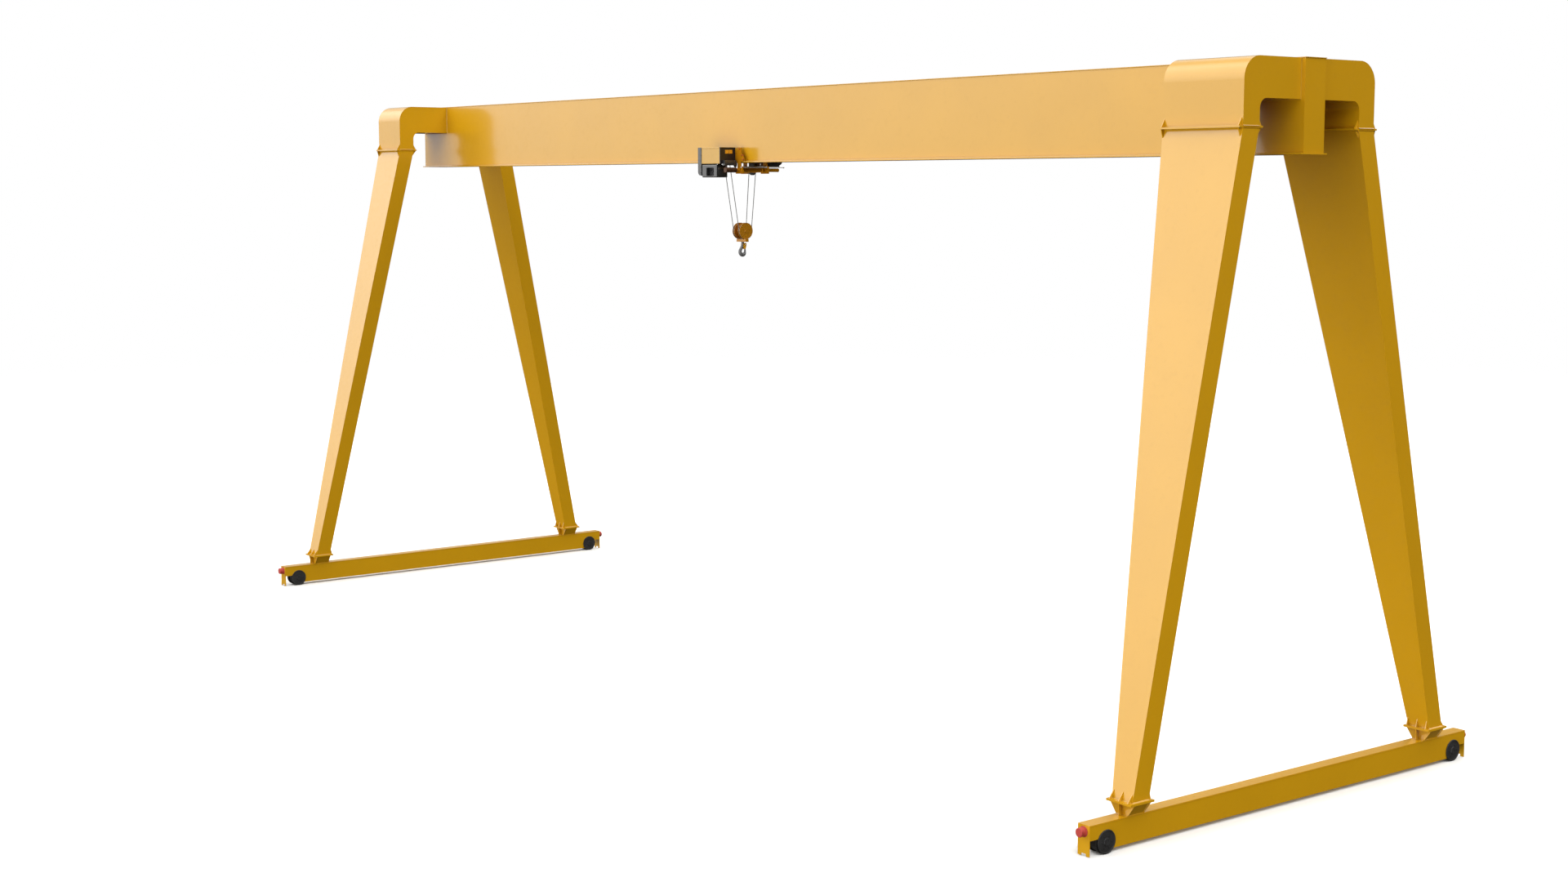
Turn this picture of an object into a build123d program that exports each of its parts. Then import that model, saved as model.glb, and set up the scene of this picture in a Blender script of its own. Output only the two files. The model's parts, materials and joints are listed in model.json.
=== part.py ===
"""Single-girder gantry crane: a box girder on two pairs of splayed legs, with an underhung rope hoist.

x runs along the girder (the wide leg pair stands at +x), y runs along the rails (the front is -y) and
z is up. The origin is on the floor, midway between the two rails. Lengths are in millimetres.
"""
from build123d import *
import os
from math import asin, atan2, cos, degrees, hypot, radians, sin

# Driving dimensions: rails and travelling wheels
rail_span = 20000.0
wheel_base = 6204.0
wheel_radius = 135.5
wheel_width = 146.0
rail_groove_width = 80.0
rail_groove_depth = 15.0
axle_radius = 35.0
axle_clearance = 0.05
wheel_disc_thickness = 8.0
wheel_disc_gap = 5.0

# Driving dimensions: end carriages
carriage_width = 174.0
carriage_height = 307.0
carriage_floor_clearance = 45.0
carriage_web_thickness = 8.0
carriage_plate_thickness = 10.0
carriage_end_margin = 255.0
carriage_end_plate_thickness = 10.0
end_plate_floor_clearance = 7.0
rail_notch_width = 72.0
rail_notch_height = 28.0
web_end_cut_height = 138.0
axle_ear_radius = 92.0
bottom_plate_wheel_gap = 36.0
buffer_radius = 52.0
buffer_length = 78.0
buffer_edge_radius = 8.0
buffer_drop_from_top = 78.0

# Driving dimensions: foot saddles and leg feet
saddle_height = 146.0
saddle_plate_thickness = 10.0
saddle_side_recess = 8.0
foot_flange_thickness = 12.0
foot_flange_side_overhang = 34.0
foot_flange_face_overhang = 56.0
leg_foot_width = 302.0
leg_foot_depth = 259.0
leg_foot_y = 2641.5
leg_wall = 8.0
foot_gusset_height = 98.0
foot_gusset_inset = 16.0
foot_gusset_count = 3

# Driving dimensions: leg heads and elbows
near_head_width = 1170.0
far_head_width = 809.0
near_head_reach = 77.0
far_head_reach = 229.0
head_depth = 272.0
head_inner_y = 870.0
head_flange_thickness = 10.0
head_flange_overhang = 60.0
head_gusset_height = 98.0
head_gusset_inset = 18.0
head_gusset_count = 2
gusset_thickness = 10.0
gusset_edge_setback = 4.0
elbow_height = 777.0
elbow_arm_depth = 459.0
elbow_outer_radius = 262.0
elbow_inner_radius = 113.0
elbow_wall = 8.0

# Driving dimensions: girder
girder_soffit_z = 7512.0
girder_depth = 1080.0
girder_width = 357.0
girder_web_thickness = 8.0
girder_top_plate_thickness = 8.0
girder_top_plate_overhang = 8.0
girder_flange_thickness = 16.0
girder_flange_overhang = 45.0
girder_flange_end_overhang = 14.0
girder_end_plate_thickness = 10.0
near_girder_end_reach = 55.0
far_girder_end_reach = 33.0

# Driving dimensions: trolley
trolley_x = -620.0
trolley_wheel_base = 506.0
trolley_wheel_radius = 55.0
trolley_wheel_width = 38.0
trolley_wheel_plate_gap = 4.0
trolley_wheel_axle_radius = 16.0
rolling_clearance = 0.3
side_plate_thickness = 16.0
side_plate_clearance = 12.0
side_plate_height = 150.0
side_plate_left_reach = 130.0
side_plate_right_reach = 44.0
upright_width = 85.0
upright_top_above_soffit = 223.0
upright_bottom_below_soffit = 167.0
tie_bar_radius = 27.5
tie_bar_drop = 112.0
tie_bar_front_reach = 256.0
tie_bar_rear_reach = 236.0
bar_clearance = 0.2
collar_length = 170.0
collar_thickness = 30.0
collar_top_rise = 5.0
shaft_radius = 7.0
shaft_drop = 71.0
shaft_offset_x = 62.0
shaft_rear_reach = 300.0
shaft_lug_width = 44.0
shaft_lug_rise = 14.0
drive_radius = 75.0
drive_length = 274.0
drive_rise = 28.0
drive_cap_radius = 60.0
drive_cap_length = 46.0

# Driving dimensions: hoist
hoist_length = 469.0
hoist_right_offset = 157.0
hoist_depth = 284.0
hoist_height = 243.0
hoist_bottom_below_soffit = 18.0
hoist_cover_thickness = 6.0
hoist_end_cover_thickness = 12.0
gearbox_length = 98.0
gearbox_drop = 174.0
gearbox_corner_radius = 60.0
motor_length = 368.0
motor_depth = 197.0
motor_height = 190.0
motor_gap = 14.0
motor_left_inset = 17.0
motor_hanger_width = 60.0
motor_edge_radius = 12.0
motor_recess_length = 190.0
motor_recess_height = 125.0
motor_recess_depth = 60.0
motor_recess_left_inset = 105.0
motor_recess_bottom_inset = 22.0
switch_box_length = 52.0
switch_box_depth = 205.0
switch_box_height = 77.0
switch_box_drop = 26.0
switch_box_front_inset = 45.0
drum_radius = 84.3
drum_flange_radius = 104.0
drum_flange_thickness = 12.0
drum_end_gap = 14.0
drum_shaft_radius = 28.0
drum_inset_from_plate = 149.0
drum_rise_above_bottom = 116.0

# Driving dimensions: ropes, return sheave and hook block
rope_radius = 5.5
rope_seat_clearance = 0.2
rope_body_gap = 1.0
return_sheave_radius = 79.3
return_sheave_rim_radius = 88.0
return_sheave_width = 34.0
return_sheave_groove_width = 16.0
return_sheave_hub_radius = 17.0
return_sheave_y = 190.0
return_sheave_drop = 99.0
carrier_thickness = 10.0
carrier_height = 72.0
carrier_end_reach = 45.0
carrier_gap = 2.0
block_drop = 1028.0
block_sheave_spacing = 137.0
block_sheave_radius = 109.3
block_sheave_width = 33.0
block_cover_radius = 123.5
block_cover_thickness = 7.0
block_cover_foot_width = 74.0
block_axle_radius = 26.0
crosshead_overhang = 26.0
crosshead_depth = 64.0
crosshead_height = 42.0
crosshead_edge_radius = 10.0
shank_radius = 17.0
shank_clearance = 0.05
shank_nut_radius = 32.0
shank_nut_height = 28.0
swivel_gap = 0.3
hook_bar_radius = 19.0
hook_bowl_radius = 50.0
hook_bowl_drop = 151.0
hook_back_angle = 150.0
hook_back_bend_radius = 60.0
hook_tip_rise = 45.0
latch_pin_radius = 4.0
latch_pin_clearance = 0.05
latch_pivot_y = 32.0
latch_pivot_drop = 46.0
latch_lug_radius = 10.0
latch_lug_width = 20.0
latch_cheek_gap = 1.0
latch_cheek_thickness = 3.0
latch_tongue_thickness = 5.0
latch_tongue_drop = 20.0
latch_tip_gap = 1.0
latch_end_below_tip = 8.0

# Heights worked out from the driving dimensions
carriage_top_z = carriage_floor_clearance + carriage_height
foot_joint_z = carriage_top_z + saddle_height
girder_top_z = girder_soffit_z + girder_depth
flange_top_z = girder_soffit_z + girder_flange_thickness
top_plate_bottom_z = girder_top_z - girder_top_plate_thickness
elbow_top_z = top_plate_bottom_z
head_joint_z = elbow_top_z - elbow_height
leg_bottom_z = foot_joint_z + foot_flange_thickness
leg_top_z = head_joint_z - head_flange_thickness

# Places worked out along the rails
carriage_half_length = wheel_base / 2 + carriage_end_margin
web_half_length = carriage_half_length - carriage_end_plate_thickness
head_outer_y = head_inner_y + head_depth
girder_half_width = girder_width / 2
flange_half_width = girder_half_width + girder_flange_overhang


class CrossEnd:
    """One end of the girder: where its carriage, legs and elbows stand along x."""

    def __init__(self, name, side, head_width, head_reach, girder_reach):
        self.name = name
        self.rail_x = side * rail_span / 2
        outer = self.rail_x + side * head_reach
        inner = outer - side * head_width
        self.head_x = (min(outer, inner), max(outer, inner))
        self.foot_x = (self.rail_x - leg_foot_width / 2, self.rail_x + leg_foot_width / 2)
        self.girder_x = outer + side * girder_reach


near_end = CrossEnd("near", 1, near_head_width, near_head_reach, near_girder_end_reach)
far_end = CrossEnd("far", -1, far_head_width, far_head_reach, far_girder_end_reach)
cross_ends = (near_end, far_end)
corner_names = {-1: "front", 1: "rear"}


# Shape helpers
def mean(span):
    """The middle of a span."""
    return (span[0] + span[1]) / 2


def block(x_span, y_span, z_span):
    """A plain box between a low and a high limit on each axis."""
    spans = (x_span, y_span, z_span)
    size = [max(span) - min(span) for span in spans]
    middle = [mean(span) for span in spans]
    return Pos(*middle) * Box(*size)


def outline_face(points, radii):
    """A flat face inside a closed outline, with a radius (or 0) for each corner."""
    if max(radii) > 0:
        return make_face(FilletPolyline(*points, radius=radii, close=True))
    return make_face(Polyline(*points, close=True))


def plate_across_x(points, x_span, radii=(0,)):
    """A plate whose outline is given in (y, z), carried along x."""
    plane = Plane(origin=(min(x_span), 0, 0), x_dir=(0, 1, 0), z_dir=(1, 0, 0))
    return extrude(plane * outline_face(points, radii), amount=max(x_span) - min(x_span))


def plate_across_y(points, y_span, radii=(0,)):
    """A plate whose outline is given in (x, z), carried along y."""
    plane = Plane(origin=(0, max(y_span), 0), x_dir=(1, 0, 0), z_dir=(0, -1, 0))
    return extrude(plane * outline_face(points, radii), amount=max(y_span) - min(y_span))


def rod_along_x(radius, x_span, y, z):
    """A round bar along x."""
    bar = Rot(0, 90, 0) * Cylinder(radius, abs(x_span[1] - x_span[0]))
    return Pos(mean(x_span), y, z) * bar


def rod_along_y(radius, y_span, x, z):
    """A round bar along y."""
    bar = Rot(90, 0, 0) * Cylinder(radius, abs(y_span[1] - y_span[0]))
    return Pos(x, mean(y_span), z) * bar


def rod_along_z(radius, z_span, x, y):
    """A round bar along z."""
    return Pos(x, y, mean(z_span)) * Cylinder(radius, abs(z_span[1] - z_span[0]))


def bar_between(start, end, radius):
    """A round bar from one point to another."""
    along = Vector(end) - Vector(start)
    foot = Plane(origin=start, z_dir=along)
    return foot * Cylinder(radius, along.length, align=(Align.CENTER, Align.CENTER, Align.MIN))


def flip_y(solid):
    """The same piece on the other side of the girder."""
    return mirror(solid, about=Plane.XZ)


def on_side(solid, side):
    """A piece made for +y, put on the rear (1) or the front (-1)."""
    return solid if side > 0 else flip_y(solid)


def write(node, *solids):
    """Write one node; its solids, if several, do not touch each other."""
    shape = solids[0] if len(solids) == 1 else Compound(children=list(solids))
    export_step(shape, os.path.join("parts", node + ".step"))


# Girder
def girder():
    """Box girder: two webs between a top plate and a wider bottom flange, closed at both ends."""
    x_span = (far_end.girder_x, near_end.girder_x)
    inner_x = (x_span[0] + girder_end_plate_thickness, x_span[1] - girder_end_plate_thickness)
    flange_x = (x_span[0] - girder_flange_end_overhang, x_span[1] + girder_flange_end_overhang)
    plate_x = (x_span[0] - girder_top_plate_overhang, x_span[1] + girder_top_plate_overhang)
    plate_y = girder_half_width + girder_top_plate_overhang
    web_z = (flange_top_z, top_plate_bottom_z)
    web_y = (girder_half_width - girder_web_thickness, girder_half_width)
    end_y = (-girder_half_width, girder_half_width)
    rear_web = block(inner_x, web_y, web_z)
    write("girder_top_plate", block(plate_x, (-plate_y, plate_y), (top_plate_bottom_z, girder_top_z)))
    flange_y = (-flange_half_width, flange_half_width)
    write("girder_bottom_flange", block(flange_x, flange_y, (girder_soffit_z, flange_top_z)))
    write("girder_rear_web", rear_web)
    write("girder_front_web", flip_y(rear_web))
    write(
        "girder_end_plates",
        block((inner_x[1], x_span[1]), end_y, web_z),
        block((x_span[0], inner_x[0]), end_y, web_z),
    )


# Elbows and legs
def elbow_outline(inset, arm_end_y, bottom_z):
    """The bent box's side outline in (y, z), inside its outer skin by the inset, with its corner radii."""
    outer_y = head_outer_y - inset
    inner_y = head_inner_y + inset
    top_z = elbow_top_z - inset
    soffit_z = elbow_top_z - elbow_arm_depth + inset
    points = [
        (arm_end_y, top_z),
        (outer_y, top_z),
        (outer_y, bottom_z),
        (inner_y, bottom_z),
        (inner_y, soffit_z),
        (arm_end_y, soffit_z),
    ]
    radii = [0, elbow_outer_radius - inset, 0, 0, elbow_inner_radius + inset, 0]
    return points, radii


def elbow(end):
    """A hollow bent box that carries the girder on a leg, made for the rear side."""
    bottom_z = head_joint_z + head_flange_thickness
    points, radii = elbow_outline(0, girder_half_width, bottom_z)
    skin = plate_across_x(points, end.head_x, radii)
    past = elbow_wall
    points, radii = elbow_outline(elbow_wall, girder_half_width - past, bottom_z - past)
    hollow_x = (end.head_x[0] + elbow_wall, end.head_x[1] - elbow_wall)
    return skin - plate_across_x(points, hollow_x, radii)


def leg_section(end, z):
    """The x and y limits of the leg's rectangular section at a height (rear side)."""
    share = (z - foot_joint_z) / (head_joint_z - foot_joint_z)
    foot_y = (leg_foot_y - leg_foot_depth / 2, leg_foot_y + leg_foot_depth / 2)
    head_y = (head_inner_y, head_outer_y)
    x_span = [a + (b - a) * share for a, b in zip(end.foot_x, end.head_x)]
    y_span = [a + (b - a) * share for a, b in zip(foot_y, head_y)]
    return x_span, y_span


def leg_solid(end, inset, z_span):
    """A tapered box between two heights, drawn inside the leg's outer skin by the inset."""
    faces = []
    for z in z_span:
        x_span, y_span = leg_section(end, z)
        size_x = x_span[1] - x_span[0] - 2 * inset
        size_y = y_span[1] - y_span[0] - 2 * inset
        faces.append(Pos(mean(x_span), mean(y_span), z) * Rectangle(size_x, size_y))
    return loft(faces, ruled=True)


def leg(end):
    """A hollow tapered leg, made for the rear side."""
    past = leg_wall
    skin = leg_solid(end, 0, (leg_bottom_z, leg_top_z))
    return skin - leg_solid(end, leg_wall, (leg_bottom_z - past, leg_top_z + past))


def gusset_places(x_span, inset, count):
    """Evenly spaced x limits of the stiffeners across a face."""
    first = x_span[0] + inset
    last = x_span[1] - inset - gusset_thickness
    step = (last - first) / (count - 1)
    return [(first + step * i, first + step * i + gusset_thickness) for i in range(count)]


def gussets(face_points, edge_y, places):
    """Three-cornered stiffeners between a sloping face (two (y, z) points) and a flange's edge."""
    root, top = face_points
    toe = (edge_y, root[1])
    return [plate_across_x([root, toe, top], x_span) for x_span in places]


def flange_with_gussets(plate, faces, flange_y, places):
    """A flange plate fused with its stiffeners on both of the box's y faces."""
    toes = (flange_y[0] + gusset_edge_setback, flange_y[1] - gusset_edge_setback)
    for face_points, toe_y in zip(faces, toes):
        for rib in gussets(face_points, toe_y, places):
            plate = plate + rib
    return plate


def elbow_flange(end):
    """The bolting flange under an elbow, with upright stiffeners at its corners."""
    z_span = (head_joint_z, head_joint_z + head_flange_thickness)
    y_span = (head_inner_y - head_flange_overhang, head_outer_y + head_flange_overhang)
    top_z = z_span[1] + head_gusset_height
    faces = [((y, z_span[1]), (y, top_z)) for y in (head_inner_y, head_outer_y)]
    places = gusset_places(end.head_x, head_gusset_inset, head_gusset_count)
    return flange_with_gussets(block(end.head_x, y_span, z_span), faces, y_span, places)


def leg_head_flange(end):
    """The matching flange on top of a leg, with stiffeners below it."""
    y_span = (head_inner_y - head_flange_overhang, head_outer_y + head_flange_overhang)
    low_z = leg_top_z - head_gusset_height
    top_y = leg_section(end, leg_top_z)[1]
    low_y = leg_section(end, low_z)[1]
    faces = [((top_y[i], leg_top_z), (low_y[i], low_z)) for i in (0, 1)]
    places = gusset_places(end.head_x, head_gusset_inset, head_gusset_count)
    return flange_with_gussets(block(end.head_x, y_span, (leg_top_z, head_joint_z)), faces, y_span, places)


def foot_flange_limits(end):
    """The foot flange's x and y limits on the rear side."""
    x_span = (end.foot_x[0] - foot_flange_side_overhang, end.foot_x[1] + foot_flange_side_overhang)
    reach = leg_foot_depth / 2 + foot_flange_face_overhang
    return x_span, (leg_foot_y - reach, leg_foot_y + reach)


def leg_foot_flange(end):
    """The flange under a leg, with three stiffeners on each of the leg's y faces."""
    x_span, y_span = foot_flange_limits(end)
    high_z = leg_bottom_z + foot_gusset_height
    low_y = leg_section(end, leg_bottom_z)[1]
    high_y = leg_section(end, high_z)[1]
    faces = [((low_y[i], leg_bottom_z), (high_y[i], high_z)) for i in (0, 1)]
    places = gusset_places(leg_section(end, high_z)[0], foot_gusset_inset, foot_gusset_count)
    return flange_with_gussets(block(x_span, y_span, (foot_joint_z, leg_bottom_z)), faces, y_span, places)


def saddle(end):
    """The flared seat on a carriage under a leg: a cap, two tapered plates, sloping sides and ribs."""
    x_span, y_span = foot_flange_limits(end)
    cap_z = foot_joint_z - foot_flange_thickness
    wall = saddle_plate_thickness
    top_half = (x_span[1] - x_span[0]) / 2
    low_half = carriage_width / 2
    box_y = (leg_foot_y - leg_foot_depth / 2, leg_foot_y + leg_foot_depth / 2)
    rib_x = (end.rail_x - wall / 2, end.rail_x + wall / 2)
    height = (carriage_top_z, cap_z)

    def flare(inset):
        return [
            (end.rail_x - low_half + inset, carriage_top_z),
            (end.rail_x + low_half - inset, carriage_top_z),
            (end.rail_x + top_half - inset, cap_z),
            (end.rail_x - top_half + inset, cap_z),
        ]

    seat = block(x_span, y_span, (cap_z, foot_joint_z))
    sides = plate_across_y(flare(saddle_side_recess), box_y)
    sides = sides - plate_across_y(flare(saddle_side_recess + wall), box_y)
    seat = seat + sides
    seat = seat + plate_across_y(flare(0), (box_y[0], box_y[0] + wall))
    seat = seat + plate_across_y(flare(0), (box_y[1] - wall, box_y[1]))
    seat = seat + block(rib_x, (box_y[1], y_span[1]), height)
    return seat + block(rib_x, (y_span[0], box_y[0]), height)


def write_legs():
    """Elbows, legs, their flanges and the foot saddles at all four corners."""
    elbow_flanges = []
    leg_flanges = []
    saddles = []
    for end in cross_ends:
        for side, corner in corner_names.items():
            write(f"{end.name}_{corner}_elbow", on_side(elbow(end), side))
            write(f"{end.name}_{corner}_leg", on_side(leg(end), side))
            elbow_flanges.append(on_side(elbow_flange(end), side))
            leg_flanges.append(on_side(leg_head_flange(end), side))
            leg_flanges.append(on_side(leg_foot_flange(end), side))
            saddles.append(on_side(saddle(end), side))
    write("elbow_flanges", *elbow_flanges)
    write("leg_flanges", *leg_flanges)
    write("foot_saddles", *saddles)


# End carriages and travelling wheels
def carriage_web(end, side):
    """One web of a carriage: cut up at both ends around the wheels, with an ear round each axle."""
    outer_x = end.rail_x + side * carriage_width / 2
    x_span = (outer_x - side * carriage_web_thickness, outer_x)
    low_z = carriage_floor_clearance
    top_z = carriage_top_z - carriage_plate_thickness
    cut_z = low_z + web_end_cut_height
    web = block(x_span, (-web_half_length, web_half_length), (low_z, top_z))
    for axle_side in (-1, 1):
        axle_y = axle_side * wheel_base / 2
        web = web - block(x_span, (axle_y, axle_side * web_half_length), (low_z, cut_z))
        ear = rod_along_x(axle_ear_radius, x_span, axle_y, wheel_radius)
        ear = ear & block(x_span, (axle_y, axle_side * web_half_length), (low_z, cut_z))
        web = web + ear
        web = web - rod_along_x(axle_radius + axle_clearance, x_span, axle_y, wheel_radius)
    return web


def carriage_end_plate(end):
    """The plate that closes a carriage's rear end, notched over the rail."""
    half = carriage_width / 2
    y_span = (web_half_length, carriage_half_length)
    plate = block((end.rail_x - half, end.rail_x + half), y_span, (end_plate_floor_clearance, carriage_top_z))
    notch_x = (end.rail_x - rail_notch_width / 2, end.rail_x + rail_notch_width / 2)
    notch_z = (end_plate_floor_clearance, end_plate_floor_clearance + rail_notch_height)
    return plate - block(notch_x, y_span, notch_z)


def buffer(end):
    """The rubber buffer on a carriage's rear end plate."""
    y_span = (carriage_half_length, carriage_half_length + buffer_length)
    body = rod_along_y(buffer_radius, y_span, end.rail_x, carriage_top_z - buffer_drop_from_top)
    rim = body.edges().group_by(Axis.Y)[-1]
    return fillet(rim, buffer_edge_radius)


def travelling_wheel(end, side):
    """A double-flanged wheel on its axle, with a round disc on each axle end outside the webs."""
    y = side * wheel_base / 2
    disc_x = carriage_width / 2 + wheel_disc_gap
    half_axle = disc_x + wheel_disc_thickness
    tread_x = (end.rail_x - wheel_width / 2, end.rail_x + wheel_width / 2)
    body = rod_along_x(wheel_radius, tread_x, y, wheel_radius)
    groove_x = (end.rail_x - rail_groove_width / 2, end.rail_x + rail_groove_width / 2)
    groove = rod_along_x(wheel_radius, groove_x, y, wheel_radius)
    groove = groove - rod_along_x(wheel_radius - rail_groove_depth, groove_x, y, wheel_radius)
    body = body - groove
    body = body + rod_along_x(axle_radius, (end.rail_x - half_axle, end.rail_x + half_axle), y, wheel_radius)
    for way in (-1, 1):
        x_span = (end.rail_x + way * disc_x, end.rail_x + way * half_axle)
        body = body + rod_along_x(wheel_radius, x_span, y, wheel_radius)
    return body


def write_carriages():
    """Both end carriages with their wheels and buffers."""
    end_plates = []
    buffers = []
    half = carriage_width / 2
    inner_half = half - carriage_web_thickness
    bottom_half_length = wheel_base / 2 - wheel_radius - bottom_plate_wheel_gap
    for end in cross_ends:
        top_z = (carriage_top_z - carriage_plate_thickness, carriage_top_z)
        low_z = (carriage_floor_clearance, carriage_floor_clearance + carriage_plate_thickness)
        wide_x = (end.rail_x - half, end.rail_x + half)
        narrow_x = (end.rail_x - inner_half, end.rail_x + inner_half)
        write(
            f"{end.name}_carriage_plates",
            block(wide_x, (-web_half_length, web_half_length), top_z),
            block(narrow_x, (-bottom_half_length, bottom_half_length), low_z),
        )
        write(f"{end.name}_carriage_webs", carriage_web(end, -1), carriage_web(end, 1))
        for side, corner in corner_names.items():
            write(f"{end.name}_{corner}_wheel", travelling_wheel(end, side))
            end_plates.append(on_side(carriage_end_plate(end), side))
            buffers.append(on_side(buffer(end), side))
    write("carriage_end_plates", *end_plates)
    write("rail_buffers", *buffers)


# Trolley
plate_inner_y = flange_half_width + side_plate_clearance
plate_outer_y = plate_inner_y + side_plate_thickness
tie_bar_z = girder_soffit_z - tie_bar_drop
shaft_z = girder_soffit_z - shaft_drop
trolley_axle_z = flange_top_z + rolling_clearance + trolley_wheel_radius
near_bar_x = trolley_x + trolley_wheel_base / 2
far_bar_x = trolley_x - trolley_wheel_base / 2
shaft_x = near_bar_x + shaft_offset_x


def side_frame():
    """A side plate outside the flange, with two uprights and a collar for each tie bar (rear side)."""
    y_span = (plate_inner_y, plate_outer_y)
    plate_x = (far_bar_x - side_plate_left_reach, near_bar_x + side_plate_right_reach)
    plate_z = (trolley_axle_z - side_plate_height / 2, trolley_axle_z + side_plate_height / 2)
    upright_z = (girder_soffit_z - upright_bottom_below_soffit, girder_soffit_z + upright_top_above_soffit)
    collar_z = (upright_z[0], tie_bar_z + collar_top_rise)
    collar_y = (plate_outer_y - collar_thickness, plate_outer_y)
    frame = block(plate_x, y_span, plate_z)
    for bar_x in (far_bar_x, near_bar_x):
        frame = frame + block((bar_x - upright_width / 2, bar_x + upright_width / 2), y_span, upright_z)
        frame = frame + block((bar_x - collar_length / 2, bar_x + collar_length / 2), collar_y, collar_z)
        frame = frame - rod_along_y(tie_bar_radius + bar_clearance, collar_y, bar_x, tie_bar_z)
    lug_x = (shaft_x - shaft_lug_width / 2, shaft_x + shaft_lug_width / 2)
    frame = frame + block(lug_x, y_span, (collar_z[0], shaft_z + shaft_lug_rise))
    return frame - rod_along_y(shaft_radius + bar_clearance, collar_y, shaft_x, shaft_z)


def trolley_wheel(x):
    """A plain trolley wheel on its axle stub, standing on the flange just off the web (rear side)."""
    outer_y = plate_inner_y - trolley_wheel_plate_gap
    wheel = rod_along_y(trolley_wheel_radius, (outer_y - trolley_wheel_width, outer_y), x, trolley_axle_z)
    return wheel + rod_along_y(trolley_wheel_axle_radius, (outer_y, plate_inner_y), x, trolley_axle_z)


def travel_drive():
    """The geared travel motor on the rear side plate, with its fan cap."""
    z = girder_soffit_z + drive_rise
    cap_y = plate_outer_y + drive_length - drive_cap_length
    body = rod_along_y(drive_radius, (plate_outer_y, cap_y), near_bar_x, z)
    return body + rod_along_y(drive_cap_radius, (cap_y, plate_outer_y + drive_length), near_bar_x, z)


# Hoist, bolted to the front side plate
hoist_right_x = trolley_x + hoist_right_offset
hoist_left_x = hoist_right_x - hoist_length
hoist_back_y = -plate_outer_y
hoist_front_y = hoist_back_y - hoist_depth
hoist_bottom_z = girder_soffit_z - hoist_bottom_below_soffit
hoist_top_z = hoist_bottom_z + hoist_height
cover_right_x = hoist_right_x - hoist_end_cover_thickness
drum_y = hoist_back_y - drum_inset_from_plate
drum_z = hoist_bottom_z + drum_rise_above_bottom


def drum_cover():
    """The hoist's folded cover: front, top and back, open below."""
    wall = hoist_cover_thickness
    x_span = (hoist_left_x, cover_right_x)
    shell = block(x_span, (hoist_front_y, hoist_back_y), (hoist_bottom_z, hoist_top_z))
    inside_y = (hoist_front_y + wall, hoist_back_y - wall)
    return shell - block(x_span, inside_y, (hoist_bottom_z, hoist_top_z - wall))


def rope_drum():
    """The rope drum on its shaft, between the gearbox and the end cover."""
    barrel_x = (hoist_left_x + drum_end_gap, cover_right_x - drum_end_gap)
    drum = rod_along_x(drum_radius, barrel_x, drum_y, drum_z)
    for x in (barrel_x[0], barrel_x[1] - drum_flange_thickness):
        drum = drum + rod_along_x(drum_flange_radius, (x, x + drum_flange_thickness), drum_y, drum_z)
    return drum + rod_along_x(drum_shaft_radius, (hoist_left_x, cover_right_x), drum_y, drum_z)


def gearbox():
    """The tall gear case at the hoist's left end, rounded below."""
    left_x = hoist_left_x - gearbox_length
    low_z = hoist_bottom_z - gearbox_drop
    points = [(left_x, low_z), (hoist_left_x, low_z), (hoist_left_x, hoist_top_z), (left_x, hoist_top_z)]
    return plate_across_y(points, (hoist_front_y, hoist_back_y), (gearbox_corner_radius, 0, 0, 0))


def hoist_motor():
    """The motor case below the drum, recessed in front, flanged to the gear case by a short neck."""
    left_x = hoist_left_x + motor_left_inset
    top_z = hoist_bottom_z - motor_gap
    y_span = (hoist_front_y, hoist_front_y + motor_depth)
    case = block((left_x, left_x + motor_length), y_span, (top_z - motor_height, top_z))
    case = fillet(case.edges().filter_by(Axis.X), motor_edge_radius)
    recess_x = left_x + motor_recess_left_inset
    recess_z = top_z - motor_height + motor_recess_bottom_inset
    case = case - block(
        (recess_x, recess_x + motor_recess_length),
        (hoist_front_y, hoist_front_y + motor_recess_depth),
        (recess_z, recess_z + motor_recess_height),
    )
    neck_half = motor_hanger_width / 2
    neck_z = top_z - motor_height / 2
    neck_y = mean(y_span)
    neck_span_y = (neck_y - neck_half, neck_y + neck_half)
    neck_span_z = (neck_z - neck_half, neck_z + neck_half)
    return case + block((hoist_left_x, left_x), neck_span_y, neck_span_z)


def switch_box():
    """The small limit-switch box on the end cover."""
    front_y = hoist_front_y + switch_box_front_inset
    low_z = hoist_bottom_z - switch_box_drop
    x_span = (hoist_right_x, hoist_right_x + switch_box_length)
    return block(x_span, (front_y, front_y + switch_box_depth), (low_z, low_z + switch_box_height))


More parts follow.
